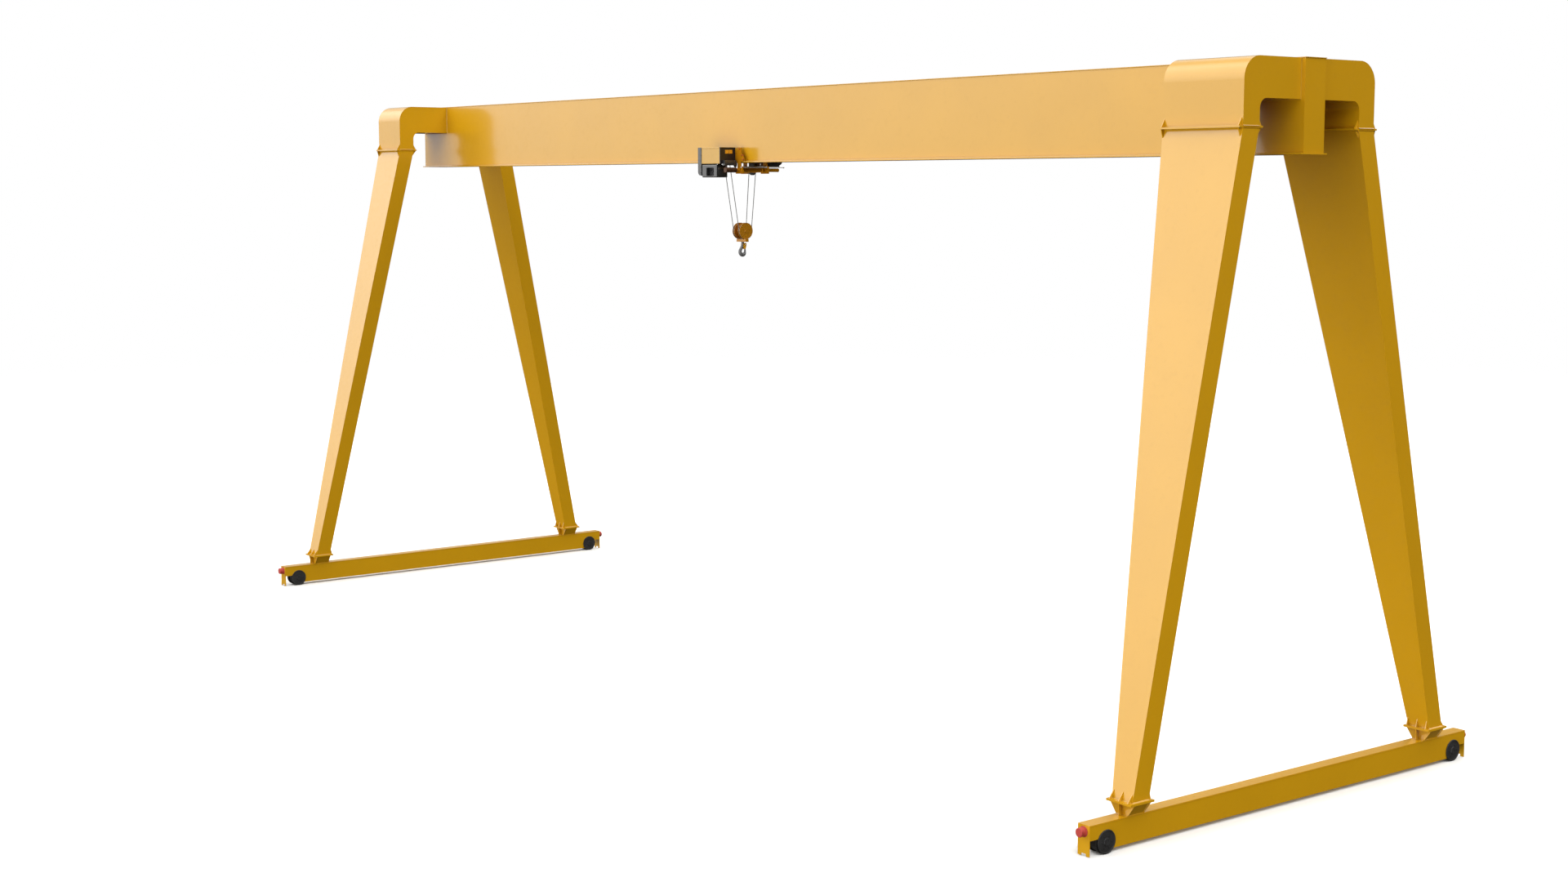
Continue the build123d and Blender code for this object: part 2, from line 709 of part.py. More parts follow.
def write_trolley():
    """The trolley's frame, wheels and drive, and the hoist on its front side."""
    frame = side_frame()
    bar_span = (-plate_outer_y - tie_bar_front_reach, plate_outer_y + tie_bar_rear_reach)
    motor_back_y = hoist_front_y + motor_depth
    wheels = []
    for x in (far_bar_x, near_bar_x):
        wheel = trolley_wheel(x)
        wheels.append(wheel)
        wheels.append(flip_y(wheel))
    end_x = (cover_right_x, hoist_right_x)
    hoist_y = (hoist_front_y, hoist_back_y)
    shaft_span = (-plate_outer_y, plate_outer_y + shaft_rear_reach)
    write("trolley_rear_side_frame", frame)
    write("trolley_front_side_frame", flip_y(frame))
    write(
        "trolley_tie_bars",
        rod_along_y(tie_bar_radius, bar_span, near_bar_x, tie_bar_z),
        rod_along_y(tie_bar_radius, (motor_back_y, bar_span[1]), far_bar_x, tie_bar_z),
    )
    write("trolley_wheels", *wheels)
    write("trolley_cross_rod", rod_along_y(shaft_radius, shaft_span, shaft_x, shaft_z))
    write("trolley_travel_drive", travel_drive())
    write("hoist_drum_cover", drum_cover())
    write("hoist_end_cover", block(end_x, hoist_y, (hoist_bottom_z, hoist_top_z)))
    write("hoist_rope_drum", rope_drum())
    write("hoist_gearbox", gearbox())
    write("hoist_motor", hoist_motor())
    write("hoist_switch_box", switch_box())


# Return sheave, ropes and hook block
return_z = girder_soffit_z - return_sheave_drop
return_pitch = return_sheave_radius + rope_seat_clearance + rope_radius
block_z = girder_soffit_z - block_drop
block_pitch = block_sheave_radius + rope_seat_clearance + rope_radius
block_sheave_x = (trolley_x - block_sheave_spacing / 2, trolley_x + block_sheave_spacing / 2)
drum_pitch = drum_radius + rope_seat_clearance + rope_radius


def return_sheave():
    """The grooved sheave that turns the rope between the two block sheaves, axis along y."""
    half = return_sheave_width / 2
    groove_half = return_sheave_groove_width / 2
    hub_half = half + carrier_gap
    rim_y = (return_sheave_y - half, return_sheave_y + half)
    groove_y = (return_sheave_y - groove_half, return_sheave_y + groove_half)
    wheel = rod_along_y(return_sheave_rim_radius, rim_y, trolley_x, return_z)
    groove = rod_along_y(return_sheave_rim_radius, groove_y, trolley_x, return_z)
    wheel = wheel - (groove - rod_along_y(return_sheave_radius, groove_y, trolley_x, return_z))
    hub_y = (return_sheave_y - hub_half, return_sheave_y + hub_half)
    return wheel + rod_along_y(return_sheave_hub_radius, hub_y, trolley_x, return_z)


def sheave_carrier_bar(side):
    """One of the two flat bars between the tie bars that hold the return sheave."""
    inner = return_sheave_y + side * (return_sheave_width / 2 + carrier_gap)
    y_span = (inner, inner + side * carrier_thickness)
    z_span = (tie_bar_z - carrier_height / 2, tie_bar_z + carrier_height / 2)
    bar = block((far_bar_x - carrier_end_reach, near_bar_x + carrier_end_reach), y_span, z_span)
    for x in (far_bar_x, near_bar_x):
        bar = bar - rod_along_y(tie_bar_radius + bar_clearance, y_span, x, tie_bar_z)
    return bar


def block_tangent_angle(top_y, top_z, side):
    """The angle on a block sheave where a rope from above meets its front (-1) or its rear (1)."""
    distance = hypot(top_y, top_z - block_z)
    bearing = atan2(top_z - block_z, top_y)
    opening = radians(90) - asin(block_pitch / distance)
    return bearing - side * opening


def on_block_sheave(x, angle):
    """The point at an angle on the rope's pitch circle round a block sheave."""
    return x, block_pitch * cos(angle), block_z + block_pitch * sin(angle)


front_rope_angle = block_tangent_angle(drum_y + drum_pitch, drum_z, -1)
rear_rope_angle = block_tangent_angle(return_sheave_y, return_z, 1)


def rope_run(start, end):
    """A straight run of rope that stops a little short of both its turns."""
    along = (Vector(*end) - Vector(*start)).normalized() * rope_body_gap
    return bar_between(Vector(*start) + along, Vector(*end) - along, rope_radius)


def rope_falls():
    """The four straight falls: two from the drum at the front, two from the return sheave at the rear."""
    front = []
    rear = []
    for x, side in zip(block_sheave_x, (-1, 1)):
        front_top = (x, drum_y + drum_pitch, drum_z)
        rear_top = (trolley_x + side * return_pitch, return_sheave_y, return_z)
        front.append(rope_run(front_top, on_block_sheave(x, front_rope_angle)))
        rear.append(rope_run(rear_top, on_block_sheave(x, rear_rope_angle)))
    return front, rear


def block_rope_turn(x):
    """The rope's turn under one block sheave, from the rear fall to the front fall."""
    turn = degrees(rear_rope_angle - front_rope_angle) % 360
    start = Pos(x, block_pitch, block_z) * Circle(rope_radius)
    start = start.rotate(Axis((x, 0, block_z), (1, 0, 0)), degrees(rear_rope_angle))
    return revolve(start, Axis((x, 0, block_z), (-1, 0, 0)), turn)


def return_rope_turn():
    """The rope's half turn over the return sheave."""
    start = Pos(trolley_x + return_pitch, return_sheave_y, return_z) * Circle(rope_radius)
    return revolve(start, Axis((trolley_x, return_sheave_y, return_z), (0, -1, 0)), 180)


crosshead_top_z = block_z - block_cover_radius
crosshead_bottom_z = crosshead_top_z - crosshead_height
cover_half = block_sheave_width / 2 + block_cover_thickness


def block_covers():
    """Four round cheek plates, two on each block sheave, each with a flat foot on the crosshead."""
    foot_y = (-block_cover_foot_width / 2, block_cover_foot_width / 2)
    covers = []
    for x in block_sheave_x:
        for side in (-1, 1):
            x_span = (x + side * block_sheave_width / 2, x + side * cover_half)
            cheek = rod_along_x(block_cover_radius, x_span, 0, block_z)
            covers.append(cheek + block(x_span, foot_y, (crosshead_top_z, block_z)))
    return covers


def block_sheaves():
    """The two block sheaves between their cheeks, and the axle piece between the two pairs."""
    half = block_sheave_width / 2
    sheaves = [rod_along_x(block_sheave_radius, (x - half, x + half), 0, block_z) for x in block_sheave_x]
    gap = (block_sheave_x[0] + cover_half, block_sheave_x[1] - cover_half)
    return sheaves + [rod_along_x(block_axle_radius, gap, 0, block_z)]


def crosshead():
    """The bar under the covers that the hook's shank turns in."""
    reach = block_sheave_spacing / 2 + cover_half + crosshead_overhang
    y_span = (-crosshead_depth / 2, crosshead_depth / 2)
    z_span = (crosshead_bottom_z, crosshead_top_z)
    bar = block((trolley_x - reach, trolley_x + reach), y_span, z_span)
    bar = fillet(bar.edges().filter_by(Axis.Z), crosshead_edge_radius)
    return bar - rod_along_z(shank_radius + shank_clearance, z_span, trolley_x, 0)


# Hook and latch
hook_top_z = crosshead_bottom_z - swivel_gap
bowl_z = hook_top_z - hook_bowl_drop
latch_pivot_z = hook_top_z - latch_pivot_drop
tip_z = bowl_z + hook_tip_rise


def hook_path():
    """The hook's centre line in (y, z): down the shank, along the back, round the bowl, up to the tip."""
    back = radians(hook_back_angle)
    back_y = hook_bowl_radius * cos(back)
    back_z = bowl_z + hook_bowl_radius * sin(back)
    corner_z = back_z + back_y * cos(back) / sin(back)
    shank = FilletPolyline((0, hook_top_z), (0, corner_z), (back_y, back_z), radius=hook_back_bend_radius)
    bowl = CenterArc((0, bowl_z), hook_bowl_radius, hook_back_angle, 360 - hook_back_angle)
    tip = Line((hook_bowl_radius, bowl_z), (hook_bowl_radius, tip_z))
    plane = Plane(origin=(trolley_x, 0, 0), x_dir=(0, 1, 0), z_dir=(1, 0, 0))
    return plane * Wire(shank.edges() + bowl.edges() + tip.edges())


def hook():
    """The forged hook with its shank, nut and the lug that carries the latch."""
    path = hook_path()
    section = Plane(origin=path @ 0, z_dir=path % 0) * Circle(hook_bar_radius)
    body = sweep(section, path=path)
    body = body + Pos(trolley_x, hook_bowl_radius, tip_z) * Sphere(hook_bar_radius)
    nut_z = crosshead_top_z + swivel_gap
    body = body + rod_along_z(shank_radius, (hook_top_z - hook_bar_radius, nut_z), trolley_x, 0)
    body = body + rod_along_z(shank_nut_radius, (nut_z, nut_z + shank_nut_height), trolley_x, 0)
    lug_x = (trolley_x - latch_lug_width / 2, trolley_x + latch_lug_width / 2)
    lug_z = (latch_pivot_z - latch_lug_radius, latch_pivot_z + latch_lug_radius)
    lug = rod_along_x(latch_lug_radius, lug_x, latch_pivot_y, latch_pivot_z)
    body = body + lug + block(lug_x, (0, latch_pivot_y), lug_z)
    return body - rod_along_x(latch_pin_radius + latch_pin_clearance, lug_x, latch_pivot_y, latch_pivot_z)


def hook_latch():
    """The sprung latch: two cheeks on a pin through the hook's lug, and a tongue down to the tip."""
    cheek_inner = latch_lug_width / 2 + latch_cheek_gap
    cheek_outer = cheek_inner + latch_cheek_thickness
    end_z = tip_z - latch_end_below_tip
    end_y = hook_bowl_radius - hook_bar_radius - latch_tip_gap
    top_y = latch_pivot_y + latch_lug_radius
    tongue_z = latch_pivot_z - latch_tongue_drop
    outline = [
        (latch_pivot_y - latch_lug_radius, latch_pivot_z + latch_lug_radius),
        (top_y, latch_pivot_z + latch_lug_radius),
        (top_y, tongue_z),
        (end_y, end_z),
        (end_y - latch_tongue_thickness, end_z),
        (latch_pivot_y - latch_lug_radius, tongue_z),
    ]
    latch_x = (trolley_x - cheek_outer, trolley_x + cheek_outer)
    latch = rod_along_x(latch_pin_radius, latch_x, latch_pivot_y, latch_pivot_z)
    for side in (-1, 1):
        x_span = (trolley_x + side * cheek_inner, trolley_x + side * cheek_outer)
        latch = latch + plate_across_x(outline, x_span)
    tongue = [
        (end_y, tongue_z),
        (end_y, end_z),
        (end_y - latch_tongue_thickness, end_z),
        (end_y - latch_tongue_thickness, tongue_z),
    ]
    return latch + plate_across_x(tongue, latch_x)


def write_lifting_gear():
    """Ropes, sheaves, hook block, hook and latch."""
    front, rear = rope_falls()
    write("return_sheave", return_sheave())
    write("return_sheave_carrier", sheave_carrier_bar(-1), sheave_carrier_bar(1))
    write("return_rope_turn", return_rope_turn())
    write("front_rope_falls", *front)
    write("rear_rope_falls", *rear)
    write("block_covers", *block_covers())
    write("block_sheaves", *block_sheaves())
    write("block_rope_turns", *[block_rope_turn(x) for x in block_sheave_x])
    write("block_crosshead", crosshead())
    write("hook", hook())
    write("hook_latch", hook_latch())


os.makedirs("parts", exist_ok=True)
girder()
write_legs()
write_carriages()
write_trolley()
write_lifting_gear()
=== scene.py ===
"""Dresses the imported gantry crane: paint, welds, bolts, hoist detail, ropes, floor, light and camera.

Lengths are in metres in the part's own frame: x along the girder, y along the rails (the front is -y), z up.
"""
import json
from itertools import product
from math import asin, atan2, cos, hypot, pi, radians, sin

import bmesh
import bpy
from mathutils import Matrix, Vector


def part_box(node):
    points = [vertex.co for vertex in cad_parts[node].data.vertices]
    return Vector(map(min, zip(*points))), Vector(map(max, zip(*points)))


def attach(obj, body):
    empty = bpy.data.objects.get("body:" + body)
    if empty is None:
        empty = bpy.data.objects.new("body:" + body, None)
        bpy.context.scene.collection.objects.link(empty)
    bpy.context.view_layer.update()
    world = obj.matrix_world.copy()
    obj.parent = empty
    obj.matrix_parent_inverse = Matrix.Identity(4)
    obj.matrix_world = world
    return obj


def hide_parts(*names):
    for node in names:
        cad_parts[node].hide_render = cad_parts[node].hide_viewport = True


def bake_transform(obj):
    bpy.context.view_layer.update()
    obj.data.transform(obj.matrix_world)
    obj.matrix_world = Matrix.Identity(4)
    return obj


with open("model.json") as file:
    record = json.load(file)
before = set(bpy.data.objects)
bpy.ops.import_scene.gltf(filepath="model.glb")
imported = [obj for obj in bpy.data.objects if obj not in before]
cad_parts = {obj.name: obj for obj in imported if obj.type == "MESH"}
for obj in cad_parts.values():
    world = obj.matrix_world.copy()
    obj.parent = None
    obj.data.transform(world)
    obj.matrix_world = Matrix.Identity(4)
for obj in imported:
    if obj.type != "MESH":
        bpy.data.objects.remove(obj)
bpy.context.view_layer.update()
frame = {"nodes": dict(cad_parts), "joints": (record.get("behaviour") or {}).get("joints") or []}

# Camera, as solved from the photograph
camera_place = (25.810, -19.673, 7.154)
camera_azimuth = radians(52.2420)
camera_dip = radians(6.7358)
camera_lens_mm = 49.47
camera_sensor_mm = 36.0
camera_reach = 500.0

# Light: a dim plain surround with five large soft panels
surround_colour = (1.0, 0.80, 0.42)
surround_up = 0.10
surround_down = 0.02
# Each panel: azimuth from the front (-y) towards +x, height, half angle, softness (degrees), strength
panels = (
    (-45.0, 33.0, 32.0, 17.0, 2.35),
    (8.0, -18.0, 26.0, 8.0, 2.8),
    (84.0, 50.0, 28.0, 12.0, 3.8),
    (-110.0, 38.0, 26.0, 14.0, 0.7),
    (186.0, 45.0, 28.0, 12.0, 2.2),
)
backdrop_white = (1.0, 1.0, 1.0)
backdrop_strength = 1.0

# Floor
floor_colour = (0.88, 0.88, 0.87)
floor_roughness = 0.9
floor_shine = 0.1
floor_radius = 120.0
floor_sides = 96
floor_clear_radius = 16.0
floor_fade_radius = 60.0
floor_drop = 0.001

# Enamels: linear colour, gloss of the top coat, shine of the paint under it
enamels = {
    "crane_paint": ((0.605, 0.312, 0.003), 1.0, 0.3),
    "trolley_paint": ((0.43, 0.172, 0.003), 0.05, 0.08),
    "hoist_paint": ((0.55, 0.305, 0.028), 0.8, 0.3),
    "block_paint": ((0.43, 0.180, 0.004), 0.45, 0.3),
    "latch_paint": ((0.76, 0.36, 0.012), 0.4, 0.3),
    "hoist_dark": ((0.010, 0.008, 0.010), 0.4, 0.3),
    "hoist_grey": ((0.027, 0.027, 0.028), 1.0, 0.3),
    # painted_shade_brown is painted shade: the dark brown of the hook block's shaded inner faces
    "painted_shade_brown": ((0.32, 0.100, 0.008), 0.05, 0.08),
}
# Metals and rubber: linear colour, share of metal, roughness range, grain per metre, strength of its relief
metals = {
    "wheel_steel": ((0.021, 0.021, 0.022), 0.0, (0.45, 0.62), 60.0, 0.12),
    "buffer_rubber": ((0.42, 0.041, 0.031), 0.0, (0.50, 0.66), 220.0, 0.06),
    "trolley_steel": ((0.20, 0.20, 0.20), 0.6, (0.35, 0.55), 60.0, 0.12),
    "hook_steel": ((0.17, 0.17, 0.175), 0.2, (0.36, 0.52), 120.0, 0.12),
    "bolt": ((0.36, 0.090, 0.006), 0.2, (0.35, 0.5), 200.0, 0.12),
    # washer_steel_and_shade: a dark brown that is partly the spacer washers' own colour and partly painted
    # shade, on them and on the rear skirt
    "washer_steel_and_shade": ((0.075, 0.028, 0.008), 0.1, (0.45, 0.6), 200.0, 0.12),
    "bright": ((0.62, 0.62, 0.61), 0.3, (0.25, 0.4), 200.0, 0.04),
}
rope_grey = (0.33, 0.33, 0.32)
window_amber = (0.78, 0.33, 0.015)
noise_middle = (0.3, 0.7)

corners = (("near", "front"), ("near", "rear"), ("far", "front"), ("far", "rear"))
left, right = (-1, 0, 0), (1, 0, 0)
front, rear = (0, -1, 0), (0, 1, 0)
down, up = (0, 0, -1), (0, 0, 1)


# Materials
def feed(node, values):
    """Gives a node's inputs, by name or number, their numbers, colours or other nodes' sockets."""
    for name, value in values.items():
        socket = node.inputs[name]
        if isinstance(value, bpy.types.NodeSocket):
            node.id_data.links.new(value, socket)
        elif socket.type == "RGBA":
            socket.default_value = (*value, 1.0)
        else:
            socket.default_value = value


def add_node(tree, kind, values, **settings):
    """The outputs of a new shader node with its settings and its inputs."""
    node = tree.nodes.new(f"ShaderNode{kind}")
    for name, value in settings.items():
        setattr(node, name, value)
    feed(node, values)
    return node.outputs


def new_finish(name, metallic=0.0, specular=0.5):
    """A fresh material, its node tree, its main shader and the piece's own coordinates."""
    material = bpy.data.materials.new(name)
    material.use_nodes = True
    tree = material.node_tree
    shader = tree.nodes["Principled BSDF"]
    feed(shader, {"Metallic": metallic, "Specular IOR Level": specular})
    return material, tree, shader, add_node(tree, "TexCoord", {})


def noise(tree, place, scale, detail):
    """A noise pattern that rides with the piece, as a grey factor."""
    return add_node(tree, "TexNoise", {"Vector": place["Object"], "Scale": scale, "Detail": detail})["Fac"]


def spread(tree, factor, source, target=(0.0, 1.0), easing="LINEAR"):
    """Maps a factor from one range to another, with plain or soft ends."""
    limits = zip(("From Min", "From Max", "To Min", "To Max"), (*source, *target))
    return add_node(tree, "MapRange", {"Value": factor, **dict(limits)}, interpolation_type=easing)["Result"]


def maths(tree, operation, *values):
    """The result of a maths node on numbers and sockets."""
    return add_node(tree, "Math", dict(enumerate(values)), operation=operation)["Value"]


def vector_maths(tree, operation, *values):
    """The outputs of a maths node on vectors and sockets."""
    return add_node(tree, "VectorMath", dict(enumerate(values)), operation=operation)


def blend_colours(tree, factor, first, second):
    """Mixes two colours, given as values or as sockets."""
    node = tree.nodes.new("ShaderNodeMix")
    node.data_type = "RGBA"
    places = [k for k, socket in enumerate(node.inputs) if socket.type == "RGBA"]
    feed(node, {"Factor": factor, **dict(zip(places, (first, second)))})
    return next(socket for socket in node.outputs if socket.type == "RGBA")


def mix_shaders(tree, factor, first, second, output):
    """Mixes two shaders into the tree's output node."""
    mix = add_node(tree, "MixShader", {0: factor, 1: first, 2: second})
    feed(tree.nodes[output], {"Surface": mix["Shader"]})


def relief(tree, height, strength, distance):
    """A bumped normal."""
    return add_node(tree, "Bump", {"Height": height, "Strength": strength, "Distance": distance})["Normal"]


def times(colour, factor):
    """A colour made darker or lighter."""
    return tuple(min(1.0, c * factor) for c in colour)


def mottled(tree, pattern, colour, dark, light):
    """A colour that wanders between a darker and a lighter tone, given as shares of it."""
    return blend_colours(tree, spread(tree, pattern, noise_middle), times(colour, dark), times(colour, light))


def enamel(name, colour, gloss, base_shine):
    """Sprayed enamel: faint cloudiness, orange peel, and a glossy top coat."""
    material, tree, shader, place = new_finish(name, specular=base_shine)
    speck = noise(tree, place, scale=14.0, detail=3.0)
    tone = mottled(tree, noise(tree, place, scale=0.9, detail=4.0), colour, dark=0.97, light=1.025)
    speck_share = spread(tree, speck, source=(0.55, 0.8), target=(0.0, 0.35))
    peel = relief(tree, noise(tree, place, scale=110.0, detail=2.0), strength=0.05, distance=0.002)
    feed(shader, {
        "Base Color": blend_colours(tree, speck_share, tone, times(colour, 0.90)),
        "Roughness": spread(tree, speck, noise_middle, (0.30, 0.42)),
        "Normal": peel,
        "Coat Normal": peel,
        "Coat Weight": gloss,
        "Coat Roughness": 0.13,
        "Coat IOR": 1.65,
    })
    return material


def welded_enamel(name, colour):
    """Enamel on weld beads: mottled and duller, with one ripple where a bead starts."""
    material, tree, shader, place = new_finish(name)
    along = add_node(tree, "SeparateXYZ", {"Vector": place["UV"]})["X"]
    wave = maths(tree, "SINE", spread(tree, along, source=(0.0, 0.008), target=(0.0, 2 * pi)))
    cloud = noise(tree, place, scale=30.0, detail=3.0)
    feed(shader, {
        "Base Color": blend_colours(tree, cloud, times(colour, 0.86), colour),
        "Roughness": 0.38,
        "Normal": relief(tree, wave, strength=0.5, distance=0.002),
        "Coat Weight": 0.8,
        "Coat Roughness": 0.2,
    })
    return material


def cast_metal(name, colour, metallic, roughness, grain, strength):
    """Forged or cast metal: mottled tone, uneven sheen and a fine rough grain."""
    material, tree, shader, place = new_finish(name, metallic)
    mottle = noise(tree, place, scale=grain * 0.2, detail=4.0)
    feed(shader, {
        "Base Color": mottled(tree, mottle, colour, dark=0.82, light=1.15),
        "Roughness": spread(tree, mottle, noise_middle, roughness),
        "Normal": relief(tree, noise(tree, place, scale=grain, detail=4.0), strength, distance=0.003),
    })
    return material


def rope_wire(name, colour, strands=6.0, lay_length=0.075):
    """Laid wire rope: strands wound round it, worked out from the length along it and the share round it;
    painted shade darkens the grooves between strands.
    """
    material, tree, shader, place = new_finish(name, metallic=0.7)
    marks = add_node(tree, "SeparateXYZ", {"Vector": place["UV"]})
    turns = maths(tree, "MULTIPLY_ADD", marks["X"], 1.0 / lay_length, marks["Y"])
    wave = maths(tree, "SINE", maths(tree, "MULTIPLY", turns, 2 * pi * strands))
    groove = spread(tree, wave, (-1.0, 1.0))
    feed(shader, {
        # painted shade: the grooves between the strands are darkened
        "Base Color": blend_colours(tree, groove, times(colour, 0.35), colour),
        "Roughness": 0.42,
        "Normal": relief(tree, groove, strength=0.6, distance=0.002),
    })
    return material


def amber_plastic(name, colour):
    """A clear-coated amber pane with faint moulded ribs."""
    material, tree, shader, place = new_finish(name)
    ribs = add_node(tree, "TexWave", {"Vector": place["Object"], "Scale": 60.0}, bands_direction="Z")["Fac"]
    feed(shader, {
        "Base Color": blend_colours(tree, ribs, times(colour, 0.85), colour),
        "Roughness": 0.25,
        "Normal": relief(tree, ribs, strength=0.2, distance=0.001),
        "Coat Weight": 0.6,
    })
    return material


finishes = {name: enamel(f"{name}_finish", *look) for name, look in enamels.items()}
finishes |= {name: cast_metal(f"{name}_finish", *look) for name, look in metals.items()}
finishes["rope_steel"] = rope_wire("rope_steel_finish", rope_grey)
finishes["weld"] = welded_enamel("weld_finish", enamels["crane_paint"][0])
finishes["amber"] = amber_plastic("amber_finish", window_amber)

own_finish = {"trolley_wheels": "bolt", "trolley_cross_rod": "bright", "return_sheave": "wheel_steel"}
for node_name, node in frame["nodes"].items():
    for holder in node.material_slots:
        holder.material = finishes[own_finish.get(node_name, holder.name.split(".")[0])]


# Stage
def make_floor():
    """A pale floor that fades out far from the crane."""
    data = bpy.data.meshes.new("studio_floor")
    angles = [2 * pi * k / floor_sides for k in range(floor_sides)]
    ring = [(floor_radius * cos(a), floor_radius * sin(a), -floor_drop) for a in angles]
    data.from_pydata(ring, [], [list(range(floor_sides))])
    floor = bpy.data.objects.new("studio_floor", data)
    bpy.context.scene.collection.objects.link(floor)
    material, tree, shader, place = new_finish("studio_floor_finish", specular=floor_shine)
    feed(shader, {"Roughness": floor_roughness, "Base Color": floor_colour})
    length = vector_maths(tree, "LENGTH", place["Object"])["Value"]
    fade = spread(tree, length, (floor_clear_radius, floor_fade_radius), easing="SMOOTHSTEP")
    clear = add_node(tree, "BsdfTransparent", {})["BSDF"]
    mix_shaders(tree, fade, shader.outputs["BSDF"], clear, "Material Output")
    data.materials.append(material)
    floor.visible_diffuse = False
    floor.visible_glossy = False
    floor.visible_shadow = False


def soft_spot(tree, direction, aim, half_angle, softness):
    """A soft-edged round patch of the surround about an aim: 1 inside, 0 outside."""
    dot = vector_maths(tree, "DOT_PRODUCT", direction, aim)["Value"]
    limits = (cos(half_angle + softness), cos(half_angle - softness))
    return spread(tree, dot, limits, easing="SMOOTHSTEP")


def make_light():
    """The studio's surround: dim and plain, with large soft panels."""
    world = bpy.data.worlds.new("studio")
    bpy.context.scene.world = world
    world.use_nodes = True
    tree = world.node_tree
    direction = add_node(tree, "TexCoord", {})["Generated"]
    rise = spread(tree, add_node(tree, "SeparateXYZ", {"Vector": direction})["Z"], (-1.0, 1.0))
    low, high = (times(surround_colour, share) for share in (surround_down, surround_up))
    light = blend_colours(tree, rise, low, high)
    for *angles, strength in panels:
        azimuth, height, half_angle, softness = (radians(angle) for angle in angles)
        aim = (sin(azimuth) * cos(height), -cos(azimuth) * cos(height), sin(height))
        spot = soft_spot(tree, direction, aim, half_angle, softness)
        light = vector_maths(tree, "MULTIPLY_ADD", spot, (strength,) * 3, light)["Vector"]
    surround = tree.nodes["Background"]
    feed(surround, {"Color": light})
    plain = add_node(tree, "Background", {"Color": backdrop_white, "Strength": backdrop_strength})
    seen = add_node(tree, "LightPath", {})["Is Camera Ray"]
    mix_shaders(tree, seen, surround.outputs["Background"], plain["Background"], "World Output")


def make_camera():
    """The camera at the photograph's place and angle."""
    data = bpy.data.cameras.new("photo_camera")
    data.lens = camera_lens_mm
    data.sensor_width = camera_sensor_mm
    data.clip_end = camera_reach
    camera = bpy.data.objects.new("photo_camera", data)
    camera.location = camera_place
    camera.rotation_euler = (pi / 2 - camera_dip, 0.0, camera_azimuth)
    bpy.context.scene.collection.objects.link(camera)
    bpy.context.scene.camera = camera


make_camera()
make_light()
make_floor()

# Shapes; the profiles of bolts and screws are (radius, height) shares of their size
bolt_washer = ((0, 0), (0.93, 0), (0.93, 0.13), (0, 0.13))
bolt_head = ((0, 0.13), (0.87, 0.13), (0.87, 0.68), (0.6786, 0.76), (0, 0.76))
screw_head = ((0, 0), (1, 0), (1, 0.35), (0.7, 0.65), (0, 0.7))
soft_angle = radians(32)
bead_bulge = 0.78


def evenly(first, last, count):
    """Evenly spaced places from first to last."""
    return [first + (last - first) * k / (count - 1) for k in range(count)]


def arc(centre, radius, turn, count=33):
    """Points on a circle about an axis along y, from +x upwards."""
    x, y, z = centre
    return [(x + radius * cos(a), y, z + radius * sin(a)) for a in evenly(0, turn, count)]


def box_corner(axis, side, second, third):
    """The signs of a box corner, from its side on one axis and on the two that follow it."""
    signs = [0, 0, 0]
    signs[axis], signs[(axis + 1) % 3], signs[(axis + 2) % 3] = side, second, third
    return tuple(signs)


def prism_faces(count):
    """The two ends and the sides of a prism, from its corners at one end and then at the other."""
    sides = [[k, (k + 1) % count, count + (k + 1) % count, count + k] for k in range(count)]
    return [list(range(count)), list(range(count, 2 * count)), *sides]


